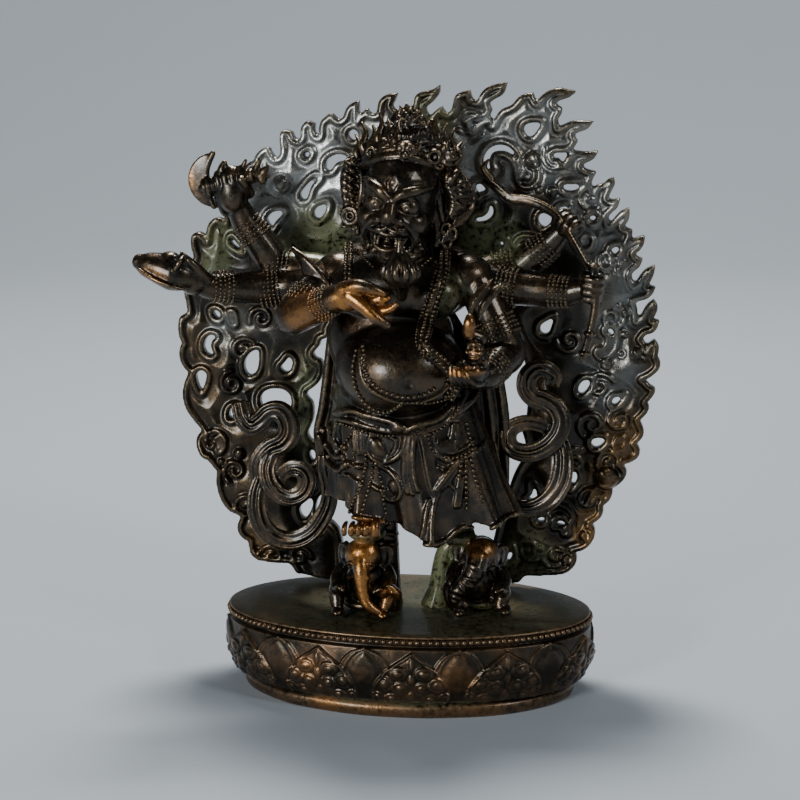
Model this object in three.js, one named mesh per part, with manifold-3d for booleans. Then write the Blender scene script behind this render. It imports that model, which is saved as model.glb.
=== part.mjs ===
// A cast bronze figure of the six-armed Mahakala, about 19 cm tall, in three castings:
// an oval lotus plinth, the figure standing on two elephant-headed attendants, and a pierced
// aureole of flames that stands behind it. Millimetres, +Z up, the figure faces -Y.
// The origin is the middle of the plinth's underside.
import * as THREE from "three";
import { mergeVertices } from "three/addons/utils/BufferGeometryUtils.js";
import Module from "manifold-3d";

// Plinth: an oval, with a plain lip, a band of lotus petals and a moulded foot.
const plinth_width = 116.4;
const plinth_depth = 66;
const plinth_height = 26.8;
const foot_width = 106;
const foot_depth = 63;
const foot_height = 4.4;
const groove_height = 1.2;
const groove_depth = 1.6;
const lip_height = 3.2;
const neck_height = 3.4;
const neck_inset = 1.2;
const petal_count = 10;
const petal_swell = 0.9;
const petal_relief = 2;

// Figure: its pose and carving are drawn for a height of drawn_height above the plinth.
const figure_height = 157;
const drawn_height = 157;
const figure_back = 15.5;
const skirt_middle = -2;
const seat_gap = 0.3;

// Aureole: a ring of flames on two legs that stand on the plinth.
const aureole_radius = 77;
const aureole_centre = 84;
const aureole_thickness = 4;
const aureole_clearance = 5.2;
const opening_radius = 34;
const opening_centre = 68;
const opening_foot = 25;
const left_leg_width = 13.5;
const right_leg_width = 9;
const flame_pitch = 7.4;
const flame_depth = 6.4;
const curled_below = -50;

const bronze = { color: 0x2b211c, roughness: 0.4, metalness: 0.85 };
const rubbed_bronze = { color: 0x3d2a1e, roughness: 0.45, metalness: 0.85 };

const wasm = await Module();
wasm.setup();

// How finely the smaller balls are faceted.
const plain = { sides: 6, rows: 4 };
const small = { sides: 5, rows: 3 };

const rad = THREE.MathUtils.degToRad;
const mix = THREE.MathUtils.lerp;
const ease = THREE.MathUtils.smoothstep;
const scale = figure_height / drawn_height;

// A closed geometry as a solid, with the vertices that faces share merged.
function solidOf(geometry) {
  const bare = geometry.clone();
  bare.deleteAttribute("normal");
  bare.deleteAttribute("uv");
  const merged = mergeVertices(bare, 1e-4);
  return new wasm.Manifold(
    new wasm.Mesh({
      numProp: 3,
      vertProperties: new Float32Array(merged.attributes.position.array),
      triVerts: new Uint32Array(merged.index.array),
    }),
  );
}

function fuse(solids) {
  return solids.reduce((whole, one) => whole.add(one));
}

// Moves each vertex of a geometry to the place that move(vertex) gives.
function reshape(geometry, move) {
  const place = geometry.attributes.position;
  const at = new THREE.Vector3();
  for (let i = 0; i < place.count; i++) {
    at.fromBufferAttribute(place, i);
    place.setXYZ(i, ...move(at));
  }
  return geometry;
}

// An ellipsoid, with its poles along Z.
function ball(place, radii, { sides, rows }) {
  const geometry = new THREE.SphereGeometry(1, sides, rows)
    .rotateX(Math.PI / 2)
    .scale(...radii)
    .translate(...place);
  return solidOf(geometry);
}

// The value at t, from 0 to 1, of a row of values spaced evenly.
function along(values, t) {
  const step = t * (values.length - 1);
  const low = Math.min(Math.floor(step), values.length - 2);
  return mix(values[low], values[low + 1], step - low);
}

// A round or flattened bar that follows a smooth path: radii along it, flat is its thickness
// over its width, and face is the way its flat side looks.
function limb(
  points,
  radii,
  { sides = 6, steps = 6, flat = 1, face = [0, -1, 0] } = {},
) {
  const path = new THREE.CatmullRomCurve3(
    points.map((p) => new THREE.Vector3(...p)),
  );
  const look = new THREE.Vector3(...face);
  const geometry = new THREE.CylinderGeometry(1, 1, 1, sides, steps);
  return solidOf(
    reshape(geometry, ({ x, y, z }) => {
      const t = y + 0.5;
      const tangent = path.getTangent(t);
      const out = look
        .clone()
        .addScaledVector(tangent, -look.dot(tangent))
        .normalize();
      const across = tangent.clone().cross(out);
      const radius = along(radii, t);
      return path
        .getPoint(t)
        .addScaledVector(across, x * radius)
        .addScaledVector(out, z * radius * flat)
        .toArray();
    }),
  );
}

// A point part of the way from one point to another.
function between(from, to, share) {
  return from.map((value, i) => mix(value, to[i], share));
}

// The share of an oval's edge that lies before each of its angles, as a lookup.
function ovalShares(wide, deep, steps = 720) {
  const lengths = [0];
  for (let i = 1; i <= steps; i++) {
    const [a, b] = [i - 1, i].map((k) => (k / steps) * Math.PI * 2);
    lengths.push(
      lengths[i - 1] +
        Math.hypot(
          wide * (Math.cos(b) - Math.cos(a)),
          deep * (Math.sin(b) - Math.sin(a)),
        ),
    );
  }
  return lengths.map((length) => length / lengths[steps]);
}

// How far the petals stand out: pointed ones in front, and round ones that show between them.
function petalRelief(turn, rise) {
  const off = Math.abs(((turn * petal_count) % 1) - 0.5) * 2;
  const front_width = 1.02 * (1 - rise ** 2.4);
  const back_width = 0.8 * Math.sqrt(1 - rise ** 2) + 0.05;
  const front = Math.max(0, 1 - (off / (front_width + 0.01)) ** 4);
  const back = Math.max(0, 1 - ((1 - off) / back_width) ** 4);
  return petal_relief * Math.max(front, back * 0.5);
}

function plinthSolid() {
  const petal_foot = foot_height + groove_height;
  const petal_top = plinth_height - lip_height - neck_height;
  const foot = [(foot_width - plinth_width) / 2, (foot_depth - plinth_depth) / 2];
  // Each ring is its height, how far it stands out from the top's edge along the width and
  // the depth, and its place up the petals.
  const band = [0.06, 0.36, 0.67, 0.98].map((rise) => {
    const swell = petal_swell * Math.sin(Math.PI * (0.2 + rise * 0.7)) - 0.9;
    const low = (1 - rise) ** 2 * 0.55;
    return [
      mix(petal_foot, petal_top, rise),
      swell + foot[0] * low,
      swell + foot[1] * low,
      rise,
    ];
  });
  const rings = [
    [0, foot[0], foot[1]],
    [foot_height, foot[0] + 0.3, foot[1] + 0.3],
    [petal_foot, foot[0] - groove_depth, foot[1] - groove_depth],
    ...band,
    [plinth_height - lip_height, -neck_inset, -neck_inset],
    [plinth_height - lip_height + 0.7, 0, 0],
    [plinth_height, 0, 0],
  ];
  const segments = petal_count * 8;
  const profile = [
    [0, 0],
    ...rings.map((ring, i) => [1, i]),
    [0, rings.length - 1],
  ].map(([radius, row]) => new THREE.Vector2(radius, row));
  const shares = ovalShares(plinth_width / 2, plinth_depth / 2);
  const geometry = new THREE.LatheGeometry(profile, segments);
  return solidOf(
    reshape(geometry, ({ x, y, z }) => {
      const [height, out_wide, out_deep, rise] = rings[Math.round(y)];
      if (Math.hypot(x, z) < 0.5) return [0, 0, height];
      const turn = (Math.atan2(x, z) / (Math.PI * 2) + 1) % 1;
      const step = shares.findIndex((share) => share >= turn - 1e-6);
      const angle = (step / (shares.length - 1)) * Math.PI * 2;
      const relief = rise === undefined ? 0 : petalRelief(turn, rise);
      return [
        (plinth_width / 2 + out_wide + relief) * Math.cos(angle),
        (plinth_depth / 2 + out_deep + relief) * Math.sin(angle),
        height,
      ];
    }),
  );
}

// The flames' reach from the aureole's centre, at an angle clockwise from the top.
function flameReach(angle) {
  const crest = 0.182 * Math.exp(-(((angle - 30) / 12) ** 2));
  const skirts = ease(-angle, 85, 155) * 0.208 + ease(angle, 108, 150) * 0.182;
  return aureole_radius * (1 + crest + skirts);
}

// The angle from one flame to the next: the flames on top are the broadest.
function flamePitch(angle) {
  return flame_pitch + 6.4 * Math.exp(-(((angle - 13) / 14) ** 2));
}

// The way a flame points, clockwise from upright: all rise, and the ones on top blow to the right.
function flameLean(angle) {
  return angle * 0.5 + 32 * Math.exp(-(((angle - 30) / 38) ** 2));
}

// Where the flames are parted: a notch lies back from its tip by as much as the flames lean.
function notch(angle) {
  const crest = aureole_radius * 0.104;
  const depth = flame_depth + crest * Math.exp(-(((angle - 28) / 17) ** 2));
  const radius = flameReach(angle) - depth;
  const lean = THREE.MathUtils.clamp(flameLean(angle) - angle, -42, 42);
  const back = THREE.MathUtils.radToDeg((depth * Math.tan(rad(lean))) / radius);
  return polar(angle - back - flamePitch(angle) / 2, radius);
}

function polar(angle, radius) {
  return new THREE.Vector2(
    radius * Math.sin(rad(angle)),
    aureole_centre + radius * Math.cos(rad(angle)),
  );
}

// One tongue of flame between two notches: a round curl down the right side, and everywhere
// else a shoulder, a long tip and a short second tip.
function flame(angle, next) {
  const from = notch(angle);
  const to = notch(next);
  const tip = polar(angle, flameReach(angle));
  const root = from.clone().lerp(to, 0.5);
  const reach = tip.clone().sub(root);
  const out = polar(angle, 1).sub(polar(angle, 0));
  const shoulder = from.clone().lerp(tip, 0.45);
  if (angle < curled_below)
    return [
      from,
      shoulder.addScaledVector(out, 2.2),
      tip,
      to.clone().addScaledVector(reach, 0.3),
    ];
  return [
    from,
    shoulder.addScaledVector(out, 0.6),
    tip,
    root.clone().addScaledVector(reach, 0.38),
    to.clone().addScaledVector(reach, 0.52),
  ];
}

function flames() {
  const points = [];
  for (let angle = -144; angle < 147; angle += flamePitch(angle))
    points.push(...flame(angle, angle + flamePitch(angle)));
  return points;
}

// The opening that the figure stands in, from its right foot over the top to its left foot:
// a scalloped arch that narrows to the feet.
function openingEdge() {
  const steps = 18;
  const points = [];
  for (let i = 0; i <= steps; i++) {
    const angle = mix(112, -112, i / steps);
    const radius = opening_radius + 1.2 * Math.cos(rad(angle * 9));
    points.push(
      new THREE.Vector2(
        radius * Math.sin(rad(angle)),
        opening_centre + radius * Math.cos(rad(angle)),
      ),
    );
  }
  return [
    new THREE.Vector2(opening_foot, 0),
    new THREE.Vector2(opening_foot - 1, 12),
    new THREE.Vector2(opening_foot + 2, 26),
    ...points,
    new THREE.Vector2(-opening_foot - 2, 26),
    new THREE.Vector2(-opening_foot + 1, 12),
    new THREE.Vector2(-opening_foot, 0),
  ];
}

// Piercings: the angle clockwise from the top, then as shares of the aureole's radius the
// distance from its centre, the length and the width, and last the turn from radial.
const drops = [
  [-85.5, 0.869, 0.055, 0.039, 0],
  [-94.2, 0.855, 0.086, 0.042, 95],
  [-101.2, 0.731, 0.112, 0.065, 110],
  [-104.7, 0.581, 0.086, 0.055, 130],
  [-103.6, 0.888, 0.078, 0.042, 100],
  [-112, 0.831, 0.06, 0.044, 60],
  [-51.8, 0.769, 0.086, 0.049, 60],
  [-38.7, 0.658, 0.081, 0.049, 30],
  [-64.3, 0.857, 0.086, 0.031, 60],
  [-17.8, 0.878, 0.052, 0.052, 0],
  [-37.5, 0.761, 0.083, 0.031, 70],
  [26.6, 0.953, 0.07, 0.055, 60],
  [45.3, 0.883, 0.083, 0.031, 40],
  [46.9, 0.726, 0.065, 0.057, 0],
  [84.7, 0.548, 0.086, 0.055, 40],
  [106.3, 0.73, 0.073, 0.052, -40],
  [107.1, 0.864, 0.06, 0.042, -20],
  [120, 0.882, 0.057, 0.039, -30],
  [143.9, 0.835, 0.07, 0.036, 20],
  [157, 0.987, 0.073, 0.034, 20],
];
// Crescents: the same, bent round their hollow side.
const crescents = [
  [-115.4, 0.681, 0.13, 0.083, -25],
  [-25, 0.786, 0.109, 0.047, 10],
  [24.6, 0.81, 0.143, 0.057, 30],
  [49.8, 0.612, 0.112, 0.042, 30],
  [90.9, 0.804, 0.112, 0.044, 100],
  [131.9, 0.894, 0.086, 0.039, 90],
  [142.6, 1.01, 0.078, 0.039, 60],
];

function piercing([angle, reach, long_share, wide_share, turn], hollow) {
  const centre = polar(angle, reach * aureole_radius);
  const [long, wide] = [long_share, wide_share].map((share) => share * aureole_radius);
  const way = rad(angle + turn);
  const steps = hollow ? 8 : 6;
  const points = [];
  for (let i = 0; i < steps; i++) {
    const round = (i / steps) * Math.PI * 2;
    const tip = Math.cos(round);
    const side = Math.sin(round) * (hollow ? 1 : 0.72 - 0.38 * tip);
    const bend = hollow ? wide * 0.5 * (1 - tip * tip) : 0;
    const u = (long / 2) * tip;
    const v = (side * wide) / (hollow ? 3 : 1.4) + bend;
    points.push(
      new THREE.Vector2(
        centre.x + u * Math.sin(way) + v * Math.cos(way),
        centre.y + u * Math.cos(way) - v * Math.sin(way),
      ),
    );
  }
  return new THREE.Path(points.reverse());
}

function aureoleSolid() {
  const foot = plinth_height + seat_gap;
  const edge = flames();
  const foot_corners = (side, wide, rise) => [
    new THREE.Vector2(side * (opening_foot + wide), rise),
    new THREE.Vector2(side * (opening_foot + wide), 0),
  ];
  edge.push(
    new THREE.Vector2(opening_foot + right_leg_width + 18, 5.5),
    new THREE.Vector2(opening_foot + right_leg_width + 4, 3.6),
    ...foot_corners(1, right_leg_width, 4),
    ...openingEdge(),
    ...foot_corners(-1, left_leg_width, 3).reverse(),
    new THREE.Vector2(-opening_foot - left_leg_width - 8, 6),
  );
  const shape = new THREE.Shape(edge);
  shape.holes = [
    ...drops.map((drop) => piercing(drop, false)),
    ...crescents.map((crescent) => piercing(crescent, true)),
  ];
  const geometry = new THREE.ExtrudeGeometry(shape, {
    depth: aureole_thickness,
    bevelEnabled: false,
  });
  const back = figure_back * scale + aureole_clearance + aureole_thickness;
  return solidOf(geometry.rotateX(Math.PI / 2).translate(0, back, foot));
}

// An elephant-headed attendant crouching on the plinth, its head at a height and leaning by tilt.
function attendant(x, y, head_height, tilt) {
  const at = (dx, dy, dz) => [x + dx, y + dy, dz];
  const ear = (side) =>
    ball(at(side * 5.4 + tilt, -3.8, head_height - 0.5), [3, 1.5, 3.6], small);
  const forearm = (side) =>
    limb([at(side * 5, 1, 14), at(side * 8.6, -3, 9), at(side * 3.4, -8, 6)], [2.3, 2.2, 1.8], {
      sides: 4,
      steps: 2,
    });
  return [
    limb([at(0, 0, 0), at(0, 0, 3), at(0, 0, 7)], [10.4, 11.2, 7.4], {
      sides: 8,
      steps: 2,
      flat: 0.75,
    }),
    ball(at(0.4, 1, head_height / 2), [8, 7.2, head_height / 2], { sides: 7, rows: 4 }),
    ball(at(tilt, -5.2, head_height), [5.2, 5.6, 6.2], plain),
    ear(-1),
    ear(1),
    limb(
      [
        at(tilt, -9, head_height - 2),
        at(tilt * 0.6, -10.6, head_height * 0.55),
        at(1, -9, 4.6),
        at(3.4, -6.5, 2),
      ],
      [2.9, 2.2, 1.7, 1.6],
      { sides: 5, steps: 4 },
    ),
    forearm(-1),
    forearm(1),
  ];
}

// A bare leg from under the skirt to a foot that stands on an attendant's head.
function leg(hip, ankle, ball_of_foot) {
  return [
    limb([hip, between(hip, ankle, 1.45)], [4.4, 3], { sides: 6, steps: 1 }),
    limb([ankle, between(ankle, ball_of_foot, 0.6), ball_of_foot], [4, 4.2, 5], {
      sides: 6,
      steps: 2,
      flat: 0.6,
      face: [0, 0, 1],
    }),
  ];
}

// Five toes side by side, the big toe on the inner side.
function toes([x, y, z]) {
  return [-2, -1, 0, 1, 2].map((i) =>
    ball(
      [x + i * 2.3, y + Math.abs(i - 1) * 0.4, z],
      [1.35, 2.6, i === 2 ? 2 : 1.6],
      small,
    ),
  );
}

// The long skirt, from the belt to a flared and folded hem.
function skirt() {
  // Each row is its height, its middle across, its half width and half depth, and its folds' depth.
  const rows = [
    [72, -1.3, 21, 14.5, 0],
    [57, 0, 24.6, 15.5, 0.4],
    [41, 2.4, 27.8, 16, 1],
    [29, 4.6, 30.2, 16, 1.9],
  ];
  const sides = 28;
  const geometry = new THREE.CylinderGeometry(1, 1, 1, sides, rows.length - 1);
  return solidOf(
    reshape(geometry, ({ x, y, z }) => {
      const [height, middle, wide, deep, fold] =
        rows[Math.round((0.5 - y) * (rows.length - 1))];
      if (Math.hypot(x, z) < 0.5) return [middle, skirt_middle, height];
      const angle = Math.atan2(-z, x);
      const pleat = Math.cos(angle * 7 + 0.6) * fold;
      return [
        middle + (wide + pleat) * Math.cos(angle),
        skirt_middle + (deep + pleat) * Math.sin(angle),
        height - fold * 1.3 * Math.cos(angle * 5 + 7),
      ];
    }),
  );
}

function torso() {
  return [
    ball([-1.2, -8.8, 81.5], [20.8, 17.2, 17], { sides: 12, rows: 7 }),
    ball([-1.6, -3.6, 101], [25.5, 11.6, 13.4], { sides: 10, rows: 5 }),
    limb([[-1.5, -3, 105], [-1.8, -5, 120]], [8, 7], { sides: 6, steps: 1 }),
    // The hide that hangs behind the body, from the shoulders to the hem.
    limb([[-1.6, 6.5, 112], [-1.8, 8, 90], [-1, 8.6, 62], [1.6, 8.6, 34]], [23, 26, 27.5, 31], {
      flat: 0.2,
      steps: 3,
      sides: 8,
    }),
  ];
}

// The belt with its knot, the two swags under it and the sashes that hang from it.
function drapery() {
  const swag = (x, wide, drop, y) =>
    limb(
      [
        [x - wide, y + 3, 67],
        [x - wide * 0.6, y, 67 - drop * 0.8],
        [x, y - 0.8, 67 - drop],
        [x + wide * 0.6, y, 67 - drop * 0.8],
        [x + wide, y + 3, 67],
      ],
      [1.6, 1.9, 2, 1.9, 1.6],
      { sides: 4, steps: 4 },
    );
  const sash = (from, to, wide) =>
    limb([from, to], [wide * 0.7, wide * 1.3], { sides: 4, steps: 1, flat: 0.5 });
  return [
    limb(
      [
        [-22.5, -3, 71.5],
        [-15, -13.6, 68.5],
        [1.5, -18.6, 67],
        [15, -14, 69.5],
        [21.5, -3, 73.5],
      ],
      [2.4, 2.5, 2.9, 2.5, 2.4],
      { sides: 5, steps: 6 },
    ),
    ball([0.5, -21, 67.5], [3.2, 2.4, 2.8], small),
    swag(-9, 9.5, 13, -17),
    swag(12, 9.5, 12, -16.5),
    sash([1, -18, 66], [-1, -18, 40], 2.6),
    sash([3, -18, 66], [10, -18, 38], 2.6),
    sash([-10, -17.4, 56], [-15.5, -16.4, 36], 2.6),
    sash([15, -16.4, 56], [21, -14.6, 38], 2.6),
  ];
}

// A wrathful head: a round face with bulging eyes under a heavy brow, in a crown of five leaves.
function head() {
  const x = -1.5;
  const pair = (dx, y, z, radii) =>
    [-1, 1].map((side) => ball([x + side * dx, y, z], radii, small));
  const leaves = [-64, -32, 0, 32, 64].map((angle) => {
    const [side, front] = [Math.sin(rad(angle)), Math.cos(rad(angle))];
    const tall = angle === 0 ? 15 : 12;
    return limb(
      [
        [x + 0.6 + 11.4 * side, -4.4 - 9.6 * front, 138.6],
        [x + 1.2 + 13 * side, -4 - 9.6 * front, 139 + tall],
      ],
      [4.4, 0.3],
      { sides: 4, steps: 1, flat: 0.6 },
    );
  });
  const locks = [-124, -95, -68, 68, 95, 124].map((angle) => {
    const at = (reach, lift) => [
      x + 1 + reach * Math.sin(rad(angle)),
      1.5,
      130 + lift + reach * Math.cos(rad(angle)),
    ];
    return limb([at(11, 0), at(19.5, 2.6)], [5.4, 0.8], { sides: 4, steps: 1 });
  });
  return [
    ball([x, -8.5, 129], [10.6, 11, 13.8], { sides: 8, rows: 6 }),
    ball([x, -10.6, 119.6], [7.8, 7.6, 5.8], plain),
    ...pair(4.7, -17.4, 131.2, [2.7, 2.4, 2.2]),
    ball([x, -19.2, 127.6], [2.9, 2.8, 2.4], small),
    limb(
      [
        [x - 9, -12.6, 133.4],
        [x - 4.4, -17.6, 135.4],
        [x, -18.6, 133],
        [x + 4.4, -17.6, 135.4],
        [x + 9, -12.6, 133.4],
      ],
      [1.2, 1.6, 1.4, 1.6, 1.2],
      { sides: 4, steps: 4 },
    ),
    // The mass of hair, the topknot and its jewel.
    ball([x + 0.8, 2, 131], [17.4, 9.5, 17.4], { sides: 8, rows: 5 }),
    limb([[x + 1.2, -4, 140], [x + 2, -3.5, 149], [x + 2.6, -3, 157]], [9.4, 6.4, 0.6], {
      sides: 6,
      steps: 2,
    }),
    // Ears with round earrings, and the crown's band.
    ...pair(12, -4.6, 128, [3, 3.4, 5.8]),
    ...pair(13, -5.8, 120.6, [3.2, 2.8, 3.6]),
    limb(
      [
        [x - 11.4, -4, 138.6],
        [x - 7.4, -11.4, 139],
        [x, -14.8, 139.4],
        [x + 7.8, -11.4, 139],
        [x + 11.8, -4, 138.6],
      ],
      [2.6, 3, 3.2, 3, 2.6],
      { sides: 4, steps: 4 },
    ),
    ...leaves,
    ...locks,
  ];
}

// An arm from shoulder through elbow to wrist, swelling at its armlet and its bracelet.
function arm(shoulder, elbow, wrist, thick) {
  const swell = [1, 0.96, 1.08, 0.84, 0.8, 0.7, 0.84];
  return limb(
    [shoulder, elbow, wrist],
    swell.map((share) => share * thick),
    { sides: 5, steps: swell.length - 1 },
  );
}

// A hand: a palm, with fingers that reach from it to their tips.
function hand(wrist, palm, tips) {
  const heel = between(wrist, palm, -0.3);
  const knuckles = between(wrist, palm, 1.35);
  return [
    limb([heel, palm, knuckles], [2.4, 3.7, 2.4], { sides: 5, steps: 2 }),
    ...tips.map((tip) => limb([palm, tip], [1.9, 1], { sides: 3, steps: 1 })),
  ];
}

function arms() {
  return [
    // Front right: holds the wish-granting jewel before the heart.
    arm([-26, -2, 106], [-34.5, -14.5, 94], [-18, -26, 102.6], 6),
    ...hand(
      [-18, -26, 102.6],
      [-11.5, -28.5, 106],
      [
        [-3.5, -30, 108.4],
        [1.2, -30.8, 100.6],
        [-6, -30, 111],
      ],
    ),
    limb(
      [
        [-1.2, -20, 104],
        [-1.2, -28.4, 107.6],
        [-1.2, -29.4, 111.4],
        [-1.2, -29.4, 117.2],
      ],
      [3, 3.4, 4.3, 0.3],
      { sides: 6, steps: 3 },
    ),
    // Second right: holds a small drum out to the side.
    arm([-25, 2, 104], [-43, 0, 101.6], [-61, -7.4, 102.8], 6),
    ...hand(
      [-60, -7, 104],
      [-67, -10.5, 106],
      [
        [-73, -16.5, 108],
        [-70, -15.4, 102.4],
        [-68.5, -8.5, 113.5],
      ],
    ),
    limb(
      [
        [-82, -12.5, 111],
        [-77, -12.5, 109.6],
        [-73, -12.5, 108.4],
        [-69, -12.5, 107.4],
        [-65, -12.5, 106.6],
      ],
      [3, 6.6, 3.6, 6, 4.6],
      { sides: 7, steps: 4 },
    ),
    // Third right: raises the curved flaying knife.
    arm([-25, 4, 106], [-41.5, 3, 107.4], [-53.6, 1, 124.4], 6),
    ...hand(
      [-53, 1, 124],
      [-56, 0, 131.5],
      [
        [-58.2, -3.4, 138.6],
        [-53.4, -3, 138.4],
      ],
    ),
    limb([[-64, -0.8, 133.4], [-47, -0.8, 137]], [1.4, 2.2], { sides: 4, steps: 1 }),
    knifeBlade(),
    // Front left: holds the skull cup of jewels at the belly.
    arm([22.4, -1, 106], [32.6, -6, 82], [24.6, -18, 79.4], 6.2),
    ...hand(
      [24, -18, 80],
      [20, -22.5, 79.6],
      [
        [14.5, -27, 79],
        [17.6, -27.6, 74.6],
        [22, -27, 87],
      ],
    ),
    ball([18.8, -24, 82.6], [5.8, 5.2, 4], plain),
    limb([[19.4, -24, 84], [19.8, -24, 90], [18, -24, 98.4]], [3.4, 3.4, 0.4], {
      sides: 5,
      steps: 2,
    }),
    // Second left: holds the trident's staff.
    arm([22.4, 2, 105], [36, 0, 103], [51, -2.2, 102], 6),
    ...hand(
      [50, -2, 102],
      [56.5, -3.5, 105],
      [
        [61.8, -6, 105.6],
        [60, -5, 100.6],
        [59.6, -6, 110],
      ],
    ),
    limb(
      [
        [47, -2.5, 126.5],
        [53.5, -3.4, 120],
        [57.5, -5.2, 108],
        [57.4, -6, 98],
        [55.4, -6.2, 82],
      ],
      [1.1, 1.5, 1.5, 1.4, 2.6],
      { sides: 4, steps: 5 },
    ),
    // Third left: raises the noose.
    arm([20, 4, 106], [34, 6, 108.6], [44.8, 5, 118.8], 6),
    ...hand(
      [44, 5, 118.6],
      [48.2, 3, 124],
      [
        [46.4, -0.2, 130.8],
        [51, 0, 129.6],
      ],
    ),
    limb(
      [
        [35, 8.6, 131.4],
        [41, 4, 131.4],
        [46.6, 0.8, 129],
        [51, -2.6, 120.6],
      ],
      [2.6, 2.4, 2, 1.8],
      { sides: 4, steps: 3 },
    ),
  ];
}

// The crescent blade of the flaying knife, its edge to the left.
function knifeBlade() {
  const blade = new THREE.Shape();
  blade.absarc(0, 0, 8.2, rad(98), rad(264), false);
  blade.lineTo(-2.6, -3.4);
  blade.lineTo(-0.6, -1.6);
  blade.lineTo(-0.6, 1.6);
  blade.lineTo(-3, 4);
  const geometry = new THREE.ExtrudeGeometry(blade, {
    depth: 1.6,
    bevelEnabled: false,
    curveSegments: 7,
  });
  return solidOf(geometry.rotateX(Math.PI / 2).rotateY(rad(8)).translate(-60, 0, 135.4));
}

// The celestial scarves: flat ribbons that loop and curl down both sides of the figure.
function scarves() {
  const ribbon = (points, radii, steps) =>
    limb(points, radii, { sides: 4, steps, flat: 0.55 });
  return [
    // Right side: a small curl, a spiral under it, and a loop that rises to the hip.
    ribbon(
      [
        [-55, 6, 61.5],
        [-54.6, 6, 55.6],
        [-49.6, 6, 56.5],
        [-45.4, 6, 62],
        [-39.4, 6, 57.6],
        [-42, 6, 49],
        [-49, 6, 43.5],
        [-48.4, 5.6, 36],
        [-41.5, 5, 31],
        [-34.4, 5, 34],
        [-33.6, 5, 40.6],
        [-39.4, 5, 42.6],
      ],
      [2.2, 3, 3.2, 3.4, 3.6, 3.6, 3.6, 3.6, 3.6, 3.6, 3.4, 2.6],
      15,
    ),
    ribbon(
      [
        [-47, 4.6, 38],
        [-49.8, 4, 28.5],
        [-44.4, 3.6, 20.4],
        [-36, 3, 20.2],
        [-28.6, 2, 27],
        [-25, 1, 38],
        [-23, 1, 56],
      ],
      [3, 3.7, 3.9, 3.9, 3.7, 3.6, 3],
      9,
    ),
    // Left side: a loop from the hip, a spiral inside it and a round curl over it.
    ribbon(
      [
        [20, 2, 64],
        [26.6, 3, 50],
        [31, 4, 37],
        [39.3, 4, 31.6],
        [47.6, 4.4, 37],
        [49, 5, 45],
        [46, 5.6, 54],
      ],
      [3, 3.4, 3.7, 3.9, 3.9, 3.7, 3],
      9,
    ),
    ribbon(
      [
        [47.6, 6, 57],
        [41.7, 5, 50.2],
        [34.6, 4.4, 49],
        [30.6, 4.4, 54.4],
        [34.6, 4.6, 60],
        [40.8, 5, 58.4],
        [40, 5, 53.6],
      ],
      [3, 3.6, 3.8, 3.6, 3.2, 2.8, 2],
      9,
    ),
    ribbon(
      [
        [46.4, 5.6, 53],
        [47.4, 6.4, 59.6],
        [42.4, 7, 64],
        [36.8, 7, 67.6],
        [36.6, 7, 74],
        [42.4, 7, 77.6],
        [47, 7, 73.6],
        [42.6, 7, 71.6],
      ],
      [3, 3.4, 3.4, 3.4, 3.4, 3.2, 2.8, 2.2],
      11,
    ),
  ];
}

function figureSolid() {
  return fuse([
    ...attendant(-11.8, -4.8, 21, 0.3),
    ...attendant(21, 3.4, 17.6, 1.7),
    ...leg([-6, -4, 40], [-8.8, -7, 30], [-11.6, -17, 29]),
    ...toes([-11.6, -18.8, 30]),
    ...leg([15, -2, 40], [16.6, -1, 27], [20, -6, 23.4]),
    // The narrow fall of cloth that props the hem between the attendants.
    limb([[13, 1.6, 32], [11.2, 2.4, 16], [11.2, 2.4, 8], [11.2, 2.4, 0]], [2.4, 2.4, 3], {
      sides: 6,
      steps: 2,
      flat: 0.6,
    }),
    skirt(),
    ...torso(),
    ...drapery(),
    ...head(),
    ...arms(),
    ...scarves(),
  ]);
}

// A named mesh from a solid.
function piece(name, solid, finish) {
  const { vertProperties, triVerts } = solid.getMesh();
  const geometry = new THREE.BufferGeometry();
  geometry.setAttribute(
    "position",
    new THREE.BufferAttribute(vertProperties, 3),
  );
  geometry.setIndex(new THREE.BufferAttribute(triVerts, 1));
  const mesh = new THREE.Mesh(
    geometry,
    new THREE.MeshStandardMaterial(finish),
  );
  mesh.name = name;
  return mesh;
}

const statue = new THREE.Group();
const figure = piece("figure", figureSolid(), bronze);
figure.scale.setScalar(scale);
figure.position.z = plinth_height + seat_gap;
statue.add(piece("lotus_plinth", plinthSolid(), rubbed_bronze));
statue.add(figure);
statue.add(piece("flame_aureole", aureoleSolid(), bronze));

export default statue;
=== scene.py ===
import random
from math import copysign, cos, degrees, pi, radians, sin, tau

import bmesh
import bpy
import numpy as np
from mathutils import Matrix, Vector, noise
from mathutils.bvhtree import BVHTree
from mathutils.kdtree import KDTree


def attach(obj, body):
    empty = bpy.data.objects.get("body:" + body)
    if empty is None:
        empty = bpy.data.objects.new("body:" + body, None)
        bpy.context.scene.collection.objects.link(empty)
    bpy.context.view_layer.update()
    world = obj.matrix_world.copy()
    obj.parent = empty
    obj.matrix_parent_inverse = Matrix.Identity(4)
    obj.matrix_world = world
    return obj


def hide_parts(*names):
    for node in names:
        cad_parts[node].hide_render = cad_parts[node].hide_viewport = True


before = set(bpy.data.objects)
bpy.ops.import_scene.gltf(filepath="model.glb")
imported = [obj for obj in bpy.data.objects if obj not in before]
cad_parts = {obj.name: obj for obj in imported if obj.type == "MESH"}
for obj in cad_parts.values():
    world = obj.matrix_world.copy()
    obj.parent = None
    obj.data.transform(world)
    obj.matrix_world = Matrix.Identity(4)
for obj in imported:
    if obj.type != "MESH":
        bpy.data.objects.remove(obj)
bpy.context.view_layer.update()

# Everything is modelled in millimetres, and made metres when it is finished.
MM = 0.001
# The figure and the aureole stand this far above the surface that the plinth stands on.
LIFT = 27.1

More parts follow.
